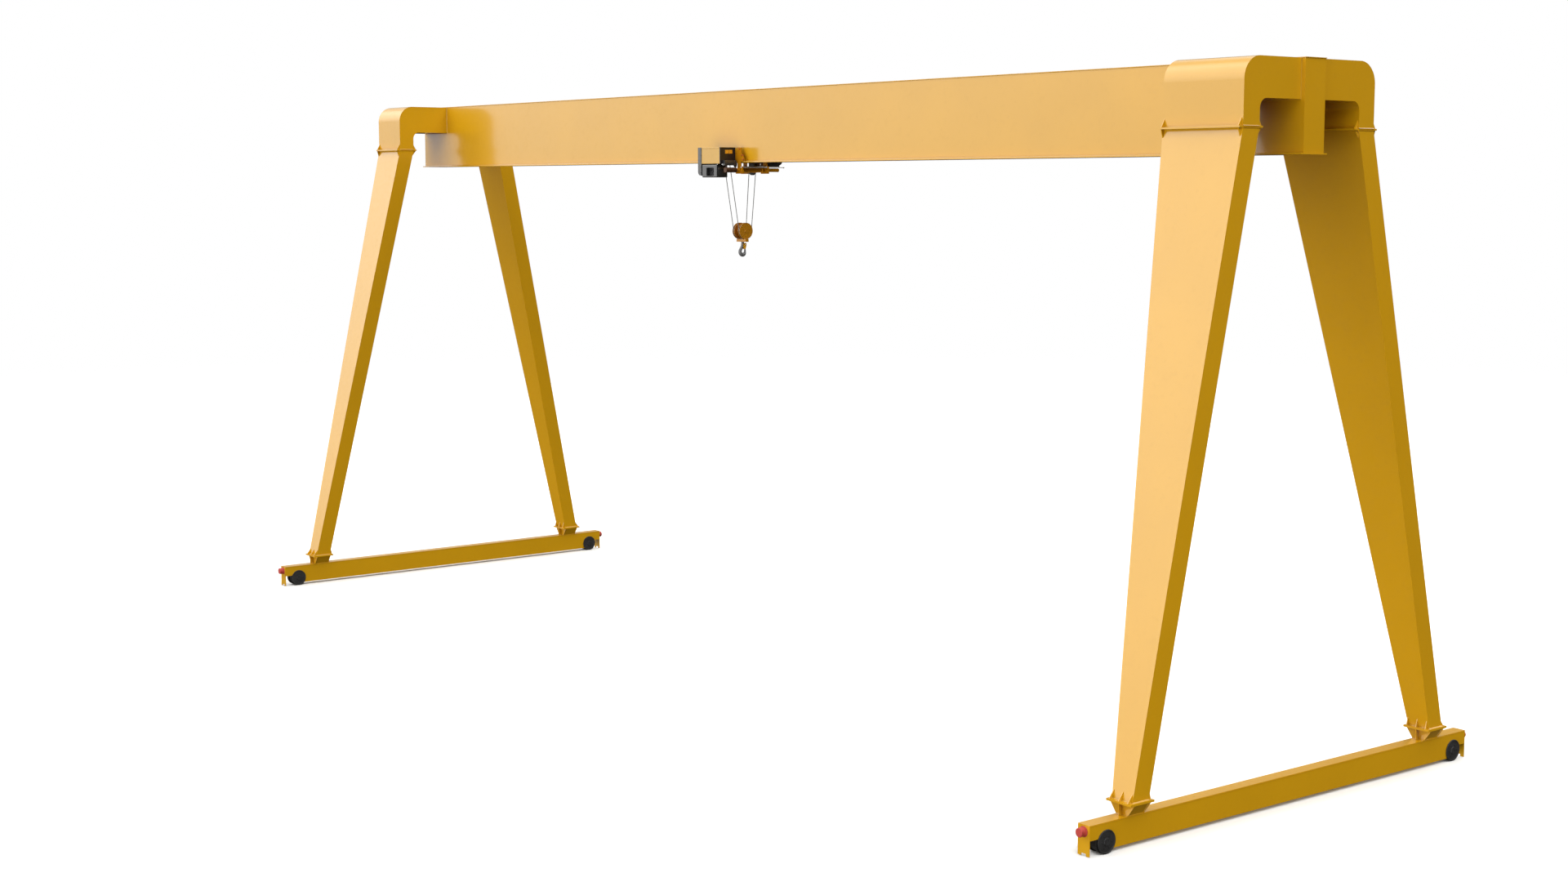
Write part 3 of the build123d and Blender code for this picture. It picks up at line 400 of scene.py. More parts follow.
class Shape:
    """Gathers many small closed forms into one mesh piece."""

    def __init__(self):
        self.points = []
        self.faces = []
        self.marks = []

    def add(self, points, faces, marks=None):
        """Adds points and faces; marks are (length along, share round) pairs for each face corner."""
        base = len(self.points)
        self.points.extend(tuple(p) for p in points)
        for i, face in enumerate(faces):
            self.faces.append([base + k for k in face])
            self.marks.extend(marks[i] if marks else [(0.0, 0.0)] * len(face))

    def block(self, low, high, edge=0.002):
        """A box with chamfered edges."""
        corner_signs = list(product((0, 1), repeat=3))
        names = {}
        points = []
        for signs, axis in product(corner_signs, range(3)):
            insets = [0.0 if k == axis else edge for k in range(3)]
            names[signs, axis] = len(points)
            points.append([high[k] - insets[k] if signs[k] else low[k] + insets[k] for k in range(3)])
        faces = []
        for axis in range(3):
            b, c = (axis + 1) % 3, (axis + 2) % 3
            for side in (0, 1):
                ring = [box_corner(axis, side, *pair) for pair in ((0, 0), (1, 0), (1, 1), (0, 1))]
                faces.append([names[signs, axis] for signs in ring])
            for pair in product((0, 1), repeat=2):
                start, end = (box_corner(axis, side, *pair) for side in (0, 1))
                faces.append([names[start, b], names[end, b], names[end, c], names[start, c]])
        faces += [[names[signs, axis] for axis in range(3)] for signs in corner_signs]
        self.add(points, faces)

    def prism(self, outline, limits, axis=0):
        """A flat plate across x (axis 0) or y (axis 1) with an outline of (other, z) points."""
        count = len(outline)
        points = [(p, other, z) if axis == 0 else (other, p, z) for p in limits for other, z in outline]
        self.add(points, prism_faces(count))

    def lathe(self, profile, origin, axis, sides=24, size=1.0):
        """A turned form: (radius, height) pairs along an axis, times a size; a radius of 0 closes an end."""
        along = Vector(axis).normalized()
        side = along.orthogonal().normalized()
        other = along.cross(side)
        origin = Vector(origin)
        points, rings, faces = [], [], []
        for radius, height in profile:
            centre = origin + along * (height * size)
            first = len(points)
            if radius == 0:
                points.append(centre)
                rings.append([first])
                continue
            for k in range(sides):
                angle = 2 * pi * k / sides
                points.append(centre + (side * cos(angle) + other * sin(angle)) * (radius * size))
            rings.append(list(range(first, first + sides)))
        for low, high in zip(rings, rings[1:]):
            for k in range(sides):
                n = (k + 1) % sides
                if len(low) == 1:
                    faces.append([low[0], high[n], high[k]])
                elif len(high) == 1:
                    faces.append([low[k], low[n], high[0]])
                else:
                    faces.append([low[k], low[n], high[n], high[k]])
        self.add(points, faces)

    def disc(self, radius, length, origin, axis, sides=24):
        """A plain round disc or bar."""
        self.lathe([(0, 0), (radius, 0), (radius, length), (0, length)], origin, axis, sides)

    def rim(self, origin, way, inner, outer, rise, bevel):
        """A low raised ring with sloped edges on a face that looks along x."""
        profile = [(inner, 0), (inner + bevel, rise), (outer - bevel, rise), (outer, 0), (inner, 0)]
        self.lathe(profile, origin, (way, 0, 0), 64)

    def bead(self, start, end, first, second, leg):
        """A rounded weld bead in the corner between two faces, along a straight line."""
        start, end, first, second = Vector(start), Vector(end), Vector(first), Vector(second)
        section = [Vector((0, 0, 0)), first * leg]
        section += [(first * cos(a) + second * sin(a)) * (leg * bead_bulge) for a in (pi / 6, pi / 3)]
        section += [second * leg]
        length = (end - start).length
        count = len(section)
        points = [start + s for s in section] + [end + s for s in section]
        marks = [[(0.0, 0.0)] * count, [(length, 0.0)] * count]
        for k in range(count):
            low, high = k / count, (k + 1) / count
            marks.append([(0.0, low), (0.0, high), (length, high), (length, low)])
        self.add(points, prism_faces(count), marks)

    def bead_loop(self, x_span, y_span, z, rise, leg):
        """Beads round a rectangular foot on a level plate, above it (rise 1) or below it (-1)."""
        upright = (0, 0, rise)
        for side, x in zip((-1, 1), x_span):
            self.bead((x, y_span[0], z), (x, y_span[1], z), (side, 0, 0), upright, leg)
        for side, y in zip((-1, 1), y_span):
            self.bead((x_span[0], y, z), (x_span[1], y, z), (0, side, 0), upright, leg)

    def tube(self, path, radii, sides=10, start_side=None):
        """A round bar along a path, with one radius or a (sideways, other) pair of radii for each point."""
        path = [Vector(p) for p in path]
        count = len(path)
        tangents = []
        for i in range(count):
            tangents.append((path[min(i + 1, count - 1)] - path[max(i - 1, 0)]).normalized())
        side = Vector(start_side) if start_side else tangents[0].orthogonal()
        points, lengths, total = [], [], 0.0
        for i in range(count):
            side = (side - tangents[i] * side.dot(tangents[i])).normalized()
            other = tangents[i].cross(side)
            wide, deep = radii[i] if isinstance(radii[i], tuple) else (radii[i], radii[i])
            if i:
                total += (path[i] - path[i - 1]).length
            lengths.append(total)
            for k in range(sides):
                angle = 2 * pi * k / sides
                points.append(path[i] + side * (wide * cos(angle)) + other * (deep * sin(angle)))
        faces, marks = [], []
        for i in range(count - 1):
            here, there = lengths[i], lengths[i + 1]
            for k in range(sides):
                n = (k + 1) % sides
                low, high = k / sides, (k + 1) / sides
                faces.append([i * sides + k, i * sides + n, (i + 1) * sides + n, (i + 1) * sides + k])
                marks.append([(here, low), (here, high), (there, high), (there, low)])
        for i in (0, count - 1):
            faces.append([i * sides + k for k in range(sides)])
            marks.append([(lengths[i], 0.0)] * sides)
        self.add(points, faces, marks)

    def wire(self, path, radius, sides=6, start_side=None):
        """A round bar of one thickness."""
        self.tube(path, [radius] * len(path), sides, start_side)

    def bolt(self, place, axis, size):
        """A hexagon bolt head on a washer."""
        self.lathe(bolt_washer, place, axis, 16, size)
        self.lathe(bolt_head, place, axis, 6, size)

    def bolt_ring(self, centre, way, circle, count, size, turn=0.0):
        """Bolts in a ring on a face that looks along x; turn is the first one's share of a step."""
        x, y, z = centre
        for k in range(count):
            angle = 2 * pi * (k + turn) / count
            self.bolt((x, y + circle * cos(angle), z + circle * sin(angle)), (way, 0, 0), size)

    def screw(self, place, axis, radius):
        """A low round screw head."""
        self.lathe(screw_head, place, axis, 14, radius)

    def mesh(self, name, finish):
        """The gathered forms as an object with outward faces and soft round surfaces."""
        data = bpy.data.meshes.new(name)
        data.from_pydata(self.points, [], self.faces)
        layer = data.uv_layers.new(name="along")
        layer.data.foreach_set("uv", [value for mark in self.marks for value in mark])
        work = bmesh.new()
        work.from_mesh(data)
        bmesh.ops.recalc_face_normals(work, faces=work.faces)
        work.to_mesh(data)
        work.free()
        data.polygons.foreach_set("use_smooth", [True] * len(data.polygons))
        data.set_sharp_from_angle(angle=soft_angle)
        data.materials.append(finish)
        piece = bpy.data.objects.new(name, data)
        bpy.context.scene.collection.objects.link(piece)
        return piece

    def on(self, body, name, slot, finish=None, stands_for=None):
        """Makes the piece in its slot's finish or another, rides it, and hides the node it stands for."""
        made = self.mesh(name, finishes[finish or slot])
        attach(made, body)
        if stands_for:
            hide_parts(stands_for)


def piece(body, slot, finish=None, stands_for=None):
    """Makes a piece at once from what the function under this line draws, with that function's name."""
    def make(draw):
        shape = Shape()
        draw(shape)
        shape.on(body, draw.__name__, slot, finish, stands_for)
    return make


def span(node, axis):
    """A node's low and high limit on one axis."""
    low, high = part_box(node)
    return low[axis], high[axis]


def middle(node):
    """A node's middle."""
    low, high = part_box(node)
    return (low + high) / 2


def ends(node):
    """A node's two x limits, each after the way it faces."""
    return tuple(zip((-1, 1), span(node, 0)))


# Sizes of the steelwork that its boxes do not tell
arm_depth = 0.459
head_depth = 0.272
foot_width = 0.302
foot_depth = 0.259
foot_y = 2.6415
saddle_foot_half = 0.079
rail_x = {"near": 10.0, "far": -10.0}
side_of = {"front": -1, "rear": 1}
flange_weld = 0.008
plate_weld = 0.006
seam_weld = 0.004


def rear_or_front(side, near, far):
    """A y span on the rear (1) or front (-1) side, low limit first."""
    return (near, far) if side > 0 else (-far, -near)


@piece("gantry", "crane_paint", "weld")
def girder_welds(shape):
    """Beads along the girder's webs and round the elbows where they meet the webs."""
    x0, x1 = span("girder_rear_web", 0)
    web_y = span("girder_rear_web", 1)[1]
    low_z, high_z = span("girder_rear_web", 2)
    arm_z = high_z - arm_depth
    for side in (-1, 1):
        out = (0, side, 0)
        y = side * web_y
        shape.bead((x0, y, low_z), (x1, y, low_z), out, up, flange_weld)
        shape.bead((x0, y, high_z), (x1, y, high_z), out, down, plate_weld)
    for end, corner in corners:
        node = f"{end}_{corner}_elbow"
        x0, x1 = span(node, 0)
        y = side_of[corner] * web_y
        out = (0, side_of[corner], 0)
        shape.bead((x0, y, arm_z), (x1, y, arm_z), out, down, flange_weld)
        for way, x in ends(node):
            shape.bead((x, y, arm_z), (x, y, high_z), (way, 0, 0), out, flange_weld)


@piece("gantry", "crane_paint", "weld")
def leg_welds(shape):
    """Beads round the elbows, legs and saddles where they stand on their flanges."""
    carriage_top = span("near_carriage_plates", 2)[1]
    for end, corner in corners:
        side = side_of[corner]
        elbow = f"{end}_{corner}_elbow"
        head_x = span(elbow, 0)
        outer = max(abs(y) for y in span(elbow, 1))
        head_y = rear_or_front(side, outer - head_depth, outer)
        foot_span = rear_or_front(side, foot_y - foot_depth / 2, foot_y + foot_depth / 2)
        x = rail_x[end]
        foot_x = (x - foot_width / 2, x + foot_width / 2)
        saddle_x = (x - saddle_foot_half, x + saddle_foot_half)
        low_z, high_z = span(f"{end}_{corner}_leg", 2)
        shape.bead_loop(head_x, head_y, span(elbow, 2)[0], 1, flange_weld)
        shape.bead_loop(head_x, head_y, high_z, -1, flange_weld)
        shape.bead_loop(foot_x, foot_span, low_z, 1, flange_weld)
        shape.bead_loop(saddle_x, foot_span, carriage_top, 1, plate_weld)


@piece("gantry", "crane_paint", "weld")
def carriage_welds(shape):
    """The seams between each carriage's top plate and its webs."""
    for end in ("near", "far"):
        plates = f"{end}_carriage_plates"
        y0, y1 = span(plates, 1)
        seam_z = span(f"{end}_carriage_webs", 2)[1]
        for way, x in ends(plates):
            shape.bead((x, y0, seam_z), (x, y1, seam_z), (way, 0, 0), down, seam_weld)


# Wheels and buffers
wheel_hub = ((0, 0), (0.046, 0), (0.042, 0.010), (0.024, 0.010), (0.024, 0.006), (0, 0.006))
buffer_collar = ((0, 0), (0.060, 0), (0.060, 0.006), (0.054, 0.010), (0, 0.010))


def wheel_trim(wheel):
    """Rim, hub and hub bolts on both round faces of a travelling wheel."""
    shape = Shape()
    low_z, high_z = span(wheel, 2)
    centre = middle(wheel)
    for way, x in ends(wheel):
        face = (x, centre.y, centre.z)
        shape.rim(face, way, inner=0.118, outer=(high_z - low_z) / 2 - 0.001, rise=0.003, bevel=0.003)
        shape.lathe(wheel_hub, face, (way, 0, 0), 40)
        shape.bolt_ring(face, way, circle=0.074, count=6, size=0.010)
    shape.on(wheel, f"{wheel}_trim", "wheel_steel")


for end_name, corner_name in corners:
    wheel_trim(f"{end_name}_{corner_name}_wheel")


@piece("gantry", "buffer_rubber")
def buffer_collars(shape):
    """The moulded foot of each rubber buffer."""
    plate_y = span("carriage_end_plates", 1)[1]
    z = middle("rail_buffers").z
    for x, side in product(rail_x.values(), (-1, 1)):
        shape.lathe(buffer_collar, (x, side * plate_y, z), (0, side, 0), 40)


# Hoist
sunk = 0.001
cap_skirt = 0.020
cap_proud = 0.002
lip_depth = 0.018
lip_thickness = 0.004
cover_screw_margin = 0.03
end_border = 0.012
end_border_rise = 0.003
window_y = (-0.441, -0.309)
window_z = (7.643, 7.698)
window_frame = 0.005
window_frame_rise = 0.003
window_bar = 0.006
window_rise = 0.005
lid_inset = 0.004
lid_rise = 0.004
lid_screw = 0.005
lid_screw_inset = 0.012
gland = ((0, 0), (0.014, 0), (0.014, 0.010), (0.010, 0.012), (0.009, 0.024), (0, 0.024))
gland_offset = 0.05


@piece("trolley", "hoist_paint")
def hoist_cover_trim(shape):
    """The folded cap and turned-in lips of the drum cover, with their screws."""
    low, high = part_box("hoist_drum_cover")
    lip_z = low.z + lip_thickness
    shape.block((low.x, low.y - cap_proud, high.z - cap_skirt), (high.x, high.y, high.z + cap_proud))
    shape.block(low, (high.x, low.y + lip_depth, lip_z), edge=0.001)
    shape.block((low.x, high.y - lip_depth, low.z), (high.x, high.y, lip_z), edge=0.001)
    for x in evenly(low.x + cover_screw_margin, high.x - cover_screw_margin, count=5):
        shape.screw((x, low.y - cap_proud, high.z - cap_skirt / 2), front, radius=0.006)
        shape.screw((x, low.y, low.z + lip_depth), front, radius=0.006)


@piece("trolley", "hoist_dark")
def hoist_end_trim(shape):
    """The end cover's window frame, its raised border and its screws."""
    low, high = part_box("hoist_end_cover")
    x = high.x
    for y0, y1, z0, z1 in (
        (low.y, high.y, low.z, low.z + end_border),
        (low.y, high.y, high.z - end_border, high.z),
        (low.y, low.y + end_border, low.z + end_border, high.z - end_border),
        (high.y - end_border, high.y, low.z + end_border, high.z - end_border),
    ):
        shape.block((x - sunk, y0, z0), (x + end_border_rise, y1, z1), edge=0.001)
    frame_low = (x - sunk, window_y[0] - window_frame, window_z[0] - window_frame)
    frame_high = (x + window_frame_rise, window_y[1] + window_frame, window_z[1] + window_frame)
    shape.block(frame_low, frame_high)
    inset = end_border / 2
    rows = evenly(low.z + inset, high.z - inset, count=3)
    for y, z in product((low.y + inset, high.y - inset), rows):
        shape.screw((x + end_border_rise, y, z), right, radius=0.007)


@piece("trolley", "hoist_paint", "amber")
def hoist_window(shape):
    """Two amber panes in the end cover."""
    x = span("hoist_end_cover", 0)[1]
    mid = sum(window_y) / 2
    for y0, y1 in ((window_y[0], mid - window_bar / 2), (mid + window_bar / 2, window_y[1])):
        shape.block((x, y0, window_z[0]), (x + window_rise, y1, window_z[1]), edge=0.0015)


@piece("trolley", "hoist_grey")
def switch_box_trim(shape):
    """The switch box's lid with its screws, and a cable gland under it."""
    low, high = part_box("hoist_switch_box")
    face = high.x + lid_rise
    lid_low = (high.x - sunk, low.y + lid_inset, low.z + lid_inset)
    shape.block(lid_low, (face, high.y - lid_inset, high.z - lid_inset))
    columns = (low.y + lid_screw_inset, high.y - lid_screw_inset)
    for y, z in product(columns, (low.z + lid_screw_inset, high.z - lid_screw_inset)):
        shape.screw((face, y, z), right, lid_screw)
    shape.lathe(gland, (middle("hoist_switch_box").x, low.y + gland_offset, low.z), down, 6)


case_lip = 0.006
case_joint = (0.014, 0.002)
case_bolt = 0.008
case_bolt_margins = (0.04, 0.03)
drum_cap_radius = 0.070
motor_cap_radius = 0.058
cap_flange = 0.008
cap_neck = ((0.7, 0.010), (0.6, 0.020))
cap_height = 0.022


@piece("trolley", "hoist_grey")
def gear_case_trim(shape):
    """Bearing caps with their bolts on the gear case's left face, and its joint flange."""
    low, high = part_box("hoist_gearbox")
    x0, x1 = (high.x - depth for depth in case_joint)
    shape.block((x0, low.y - case_lip, low.z), (x1, low.y + case_lip, high.z))
    shape.block((x0, low.y, low.z - case_lip), (x1, high.y, low.z + case_lip))
    for z in evenly(low.z + case_bolt_margins[0], high.z - case_bolt_margins[1], count=5):
        shape.bolt((x0, low.y - case_lip / 2, z), left, case_bolt)
    for radius, node in ((drum_cap_radius, "hoist_rope_drum"), (motor_cap_radius, "hoist_motor")):
        place = middle(node)
        neck = [(radius * share, height) for share, height in cap_neck]
        cap = [(0, 0), (radius, 0), (radius, cap_flange), *neck, (0, cap_height)]
        shape.lathe(cap, (low.x, place.y, place.z), left, 40)
        face = (low.x - cap_flange, place.y, place.z)
        shape.bolt_ring(face, -1, circle=radius * 0.85, count=6, size=case_bolt, turn=0.5)


recess_x = (-0.810, -0.620)
recess_z = (7.312, 7.437)
recess_depth = 0.060
guard_clearance = 0.006
shade_disc_thickness = 0.006
guard_hub = ((0, 0), (0.018, 0), (0.016, 0.024), (0, 0.026))
guard_rings = (0.45, 0.7, 0.96)
guard_ring_stand = 0.022
guard_spokes = 6
guard_spoke_stand = 0.024


@piece("trolley", "hoist_dark")
def motor_fan_guard(shape):
    """The fan guard in the motor case's front recess, over a dark disc that is painted shade for the inside
    of the recess.
    """
    x = sum(recess_x) / 2
    z = sum(recess_z) / 2
    back = span("hoist_motor", 1)[0] + recess_depth
    radius = (recess_z[1] - recess_z[0]) / 2 - guard_clearance
    # painted shade: a solid dark disc at the back of the recess
    shape.disc(radius, shade_disc_thickness, (x, back, z), front, 40)
    shape.lathe(guard_hub, (x, back, z), front, 24)
    for share in guard_rings:
        shape.wire(arc((x, back - guard_ring_stand, z), radius * share, 2 * pi), radius=0.0022)
    y = back - guard_spoke_stand
    for k in range(guard_spokes):
        a = pi * k / guard_spokes
        reach = (radius * cos(a), radius * sin(a))
        spoke = [(x - reach[0], y, z - reach[1]), (x + reach[0], y, z + reach[1])]
        shape.wire(spoke, radius=0.002)


bell = ((0, 0), (0.082, 0), (0.082, 0.006), (0.070, 0.010), (0.030, 0.012), (0, 0.012))
bell_bolt_y = 0.078
bell_bolt_z = 0.074


@piece("trolley", "hoist_grey")
def motor_end_bell(shape):
    """The motor's end bell and its bolts, on the right face of its case."""
    x = span("hoist_motor", 0)[1]
    place = middle("hoist_motor")
    shape.lathe(bell, (x, place.y, place.z), right, 48)
    for dy, dz in product((-bell_bolt_y, bell_bolt_y), (-bell_bolt_z, bell_bolt_z)):
        shape.bolt((x, place.y + dy, place.z + dz), right, case_bolt)


rope_radius = 0.0055
drum_pitch_radius = 0.0900
drum_margin = 0.032
drum_rope_pitch = 0.0125
drum_steps = 20
return_pitch_radius = 0.0850
block_pitch_radius = 0.1150
block_sheave_half_spacing = 0.0685
drum_place = middle("hoist_rope_drum")
return_place = middle("return_sheave")


@piece("trolley", "rope_steel")
def drum_rope(shape):
    """The rope wound on the drum, a turn beside a turn."""
    x0, x1 = span("hoist_rope_drum", 0)
    turns = int((x1 - x0 - 2 * drum_margin) / drum_rope_pitch)
    path = []
    for k in range(turns * drum_steps + 1):
        angle = 2 * pi * k / drum_steps
        x = x0 + drum_margin + drum_rope_pitch * k / drum_steps
        y = drum_place.y + drum_pitch_radius * cos(angle)
        path.append((x, y, drum_place.z + drum_pitch_radius * sin(angle)))
    shape.wire(path, rope_radius)


# Trolley
soffit_z = span("girder_bottom_flange", 2)[0]
near_bar = (-0.367, 7.400)
far_bar = (-0.873, 7.400)
plate_inner_y = 0.2355
plate_outer_y = 0.2515
washer_y = (-0.510, -0.305)
washer_pitch = 0.0125
washer_radius = 0.038
washer_neck = 0.0305
washer_step = ((washer_radius, 0.0), (washer_radius, 0.62), (washer_neck, 0.66), (washer_neck, 0.96))
lock_ring = ((0, 0), (0.036, 0), (0.038, 0.003), (0.038, 0.012), (0.036, 0.015), (0, 0.015))
lock_ring_inset = 0.030
bar_cap = ((0, 0), (0.0285, 0), (0.0285, 0.018), (0.0245, 0.022), (0, 0.022))
bar_cap_overlap = 0.020


@piece("trolley", "trolley_paint", "washer_steel_and_shade")
def tie_bar_washers(shape):
    """The stack of spacer washers on the front end of the right tie bar, dark brown: partly their own colour,
    partly painted shade from the hoist above.
    """
    count = int((washer_y[1] - washer_y[0]) / washer_pitch)
    profile = [(0, 0)]
    for k in range(count):
        profile += [(radius, (k + share) * washer_pitch) for radius, share in washer_step]
    profile += [(0, count * washer_pitch)]
    shape.lathe(profile, (near_bar[0], washer_y[0], near_bar[1]), rear, 32)


@piece("trolley", "trolley_paint")
def tie_bar_trim(shape):
    """Chamfered ends and lock rings of the tie bars."""
    bar_end = span("trolley_tie_bars", 1)[1]
    inner = plate_outer_y - lock_ring_inset
    for x, z in (near_bar, far_bar):
        for y, way in ((plate_outer_y, rear), (inner, front), (-inner, rear)):
            shape.lathe(lock_ring, (x, y, z), way, 32)
        shape.lathe(bar_cap, (x, bar_end - bar_cap_overlap, z), rear, 32)
    shape.lathe(lock_ring, (near_bar[0], -plate_outer_y, near_bar[1]), front, 32)


bracket_outline = ((0.042, 0.150), (0.130, 0.062), (0.130, 0.020), (0.042, 0.012))
bracket_plate = 0.006
bracket_bolts = ((0.012, 0.202, 0.013), (0.073, 0.106, 0.013), (0.107, 0.044, 0.018))
collar_bolts = ((-0.060, -0.141, 0.010), (0.060, -0.141, 0.010))


@piece("trolley", "trolley_paint")
def side_brackets(shape):
    """The bracket plate to the right of each front and rear upright."""
    outline = [(near_bar[0] + x, soffit_z + z) for x, z in bracket_outline]
    for side in (-1, 1):
        shape.prism(outline, (side * plate_outer_y, side * (plate_outer_y - bracket_plate)), 1)


@piece("trolley", "trolley_paint", "bolt")
def trolley_bolts(shape):
    """Bolts on the uprights, the brackets and the collars."""
    for side in (-1, 1):
        for x, z, size in bracket_bolts + collar_bolts:
            shape.bolt((near_bar[0] + x, side * plate_outer_y, soffit_z + z), (0, side, 0), size)
    for x, z, size in collar_bolts:
        shape.bolt((far_bar[0] + x, plate_outer_y, soffit_z + z), rear, size)


bumper_x = -0.452
bumper_drop = 0.021
bumper_size = (0.036, 0.052)
bumper_length = 0.022
bumper_edge = 0.006


@piece("trolley", "trolley_steel", "wheel_steel")
def side_bumper(shape):
    """The black oval pad on the front side plate, to the left of the upright."""
    face = tuple(size - bumper_edge for size in bumper_size)
    steps = (0.0, bumper_length - bumper_edge, bumper_length)
    path = [(bumper_x, -plate_outer_y - out, soffit_z - bumper_drop) for out in steps]
    shape.tube(path, [bumper_size, bumper_size, face], 32, right)


# The travel motor's radii are shares of its flange's radius
drive_core = 0.84
drive_flange = (0.012, 0.014)
drive_fin = 0.97
fin_thickness = 0.004
fin_gap = 0.009
fin_start = 0.030
fin_end = 0.090
cowl_share = 0.92
cowl_length = 0.062
cowl_end = ((0.92, 0.020), (0.80, 0.004), (0.76, 0.0), (0.70, 0.0), (0.66, 0.006), (0, 0.006))
cowl_rings = (0.25, 0.42, 0.58)
cowl_ring_depth = 0.004


@piece("trolley", "hoist_dark", stands_for="trolley_travel_drive")
def travel_drive_motor(shape):
    """The finned travel motor with its flange and ringed fan cowl."""
    low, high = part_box("trolley_travel_drive")
    place = middle("trolley_travel_drive")
    radius = (high.x - low.x) / 2
    length = high.y - low.y
    pitch = fin_thickness + fin_gap
    steps = [(0, 0.0), (1, 0.0), (1, drive_flange[0]), (drive_core, drive_flange[1])]
    for k in range(int((length - fin_end - fin_start) / pitch)):
        y = fin_start + k * pitch
        top = y + fin_thickness
        steps += [(drive_core, y), (drive_fin, y), (drive_fin, top), (drive_core, top)]
    steps += [(drive_core, length - cowl_length), (cowl_share, length - cowl_length)]
    steps += [(share, length - back) for share, back in cowl_end]
    profile = [(radius * share, y) for share, y in steps]
    shape.lathe(profile, (place.x, low.y, place.z), rear, 48)
    for share in cowl_rings:
        centre = (place.x, high.y - cowl_ring_depth, place.z)
        shape.wire(arc(centre, radius * share, 2 * pi), radius=0.0025)


drive_box_x = (-0.430, -0.322)
drive_box_y = (0.290, 0.480)
drive_box_z = (7.447, 7.490)


@piece("trolley", "hoist_dark")
def drive_box(shape):
    """The terminal box under the travel motor, with its lid screws."""
    shape.block(*zip(drive_box_x, drive_box_y, drive_box_z), edge=0.003)
    columns = (drive_box_x[0] + lid_screw_inset, drive_box_x[1] - lid_screw_inset)
    for x, y in product(columns, (drive_box_y[0] + lid_screw_inset, drive_box_y[1] - lid_screw_inset)):
        shape.screw((x, y, drive_box_z[0]), down, lid_screw)


sleeve_radius = 0.0115
sleeve_y = (-0.190, 0.225)
flare_clearance = 0.0005
flare_share = 1.8
flare_heights = (0.026, 0.034, 0.036)
rod_nut_share = 2.0
rod_nut_height = 0.010


@piece("trolley", "trolley_steel", "bright")
def cross_rod_tip(shape):
    """The sleeve, the flared end and the nuts of the light cross rod."""
    low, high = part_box("trolley_cross_rod")
    x, _, z = middle("trolley_cross_rod")
    radius = (high.x - low.x) / 2
    wide = radius * flare_share
    start, straight, tip = flare_heights
    flare = [(0, 0), (radius + flare_clearance, 0), (wide, start), (wide, straight), (0, tip)]
    shape.disc(sleeve_radius, sleeve_y[1] - sleeve_y[0], (x, sleeve_y[0], z), rear)
    shape.lathe(flare, (x, high.y - straight, z), rear, 20)
    for y, way in ((plate_outer_y, rear), (-plate_outer_y, front)):
        shape.disc(radius * rod_nut_share, rod_nut_height, (x, y, z), way, 6)


skirt_x = (-0.777, -0.410)
skirt_drop = (-0.020, 0.056)
skirt_hole_x = (-0.506, -0.479)
skirt_hole_drop = (0.014, 0.036)


@piece("trolley", "trolley_paint", "washer_steel_and_shade")
def rear_skirt(shape):
    """The plate that hangs below the rear side plate, with a rectangular hole through it; its dark brown is
    painted shade for the shadow under the girder's flange.
    """
    for x0, x1, drop in (
        (*skirt_x, (skirt_drop[0], skirt_hole_drop[0])),
        (skirt_x[0], skirt_hole_x[0], skirt_hole_drop),
        (skirt_hole_x[1], skirt_x[1], skirt_hole_drop),
        (*skirt_x, (skirt_hole_drop[1], skirt_drop[1])),
    ):
        low = (x0, plate_inner_y, soffit_z - drop[1])
        shape.block(low, (x1, plate_outer_y, soffit_z - drop[0]), edge=0.0005)


# Ropes
block_place = middle("block_covers")
block_x = (block_place.x - block_sheave_half_spacing, block_place.x + block_sheave_half_spacing)
block_cover_radius = 0.1235
block_z = span("block_covers", 2)[1] - block_cover_radius
rope_sides = 12


def block_angle(top_y, top_z, side):
    """The angle on a block sheave where a rope from above meets its front (-1) or its rear (1)."""
    distance = hypot(top_y, top_z - block_z)
    bearing = atan2(top_z - block_z, top_y)
    return bearing - side * (pi / 2 - asin(block_pitch_radius / distance))


front_top = (drum_place.y + drum_pitch_radius, drum_place.z)
rear_top = (return_place.y, return_place.z)
front_angle = block_angle(*front_top, -1)
rear_angle = block_angle(*rear_top, 1)


def on_block(x, angle):
    """A point at an angle on the rope's circle round a block sheave."""
    return Vector((x, block_pitch_radius * cos(angle), block_z + block_pitch_radius * sin(angle)))


def rope_falls(name, tops, angle, node):
    """Two straight falls that run from the trolley to the block."""
    shape = Shape()
    feet = [on_block(x, angle) for x in block_x]
    for top, foot in zip(tops, feet):
        shape.wire([top, foot], rope_radius, rope_sides)
    piece = shape.mesh(name, finishes["rope_steel"])
    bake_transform(piece)
    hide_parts(node)


front_tops = [Vector((x, *front_top)) for x in block_x]
rear_tops = [Vector((return_place.x + side * return_pitch_radius, *rear_top)) for side in (-1, 1)]
rope_falls("front_ropes", front_tops, front_angle, "front_rope_falls")
rope_falls("rear_ropes", rear_tops, rear_angle, "rear_rope_falls")


@piece("hook_block", "rope_steel", stands_for="block_rope_turns")
def block_ropes(shape):
    """The rope's turns under the block sheaves."""
    turn = (rear_angle - front_angle) % (2 * pi)
    for x in block_x:
        path = [on_block(x, rear_angle - a) for a in evenly(0, turn, 41)]
        shape.wire(path, rope_radius, rope_sides, right)


@piece("trolley", "rope_steel", stands_for="return_rope_turn")
def return_rope(shape):
    """The rope's turn over the return sheave."""
    shape.wire(arc(return_place, return_pitch_radius, pi), rope_radius, rope_sides, rear)


# Hook block and hook
block_hub = ((0, 0), (0.030, 0), (0.027, 0.007), (0, 0.007))
block_unit_half = 0.0235


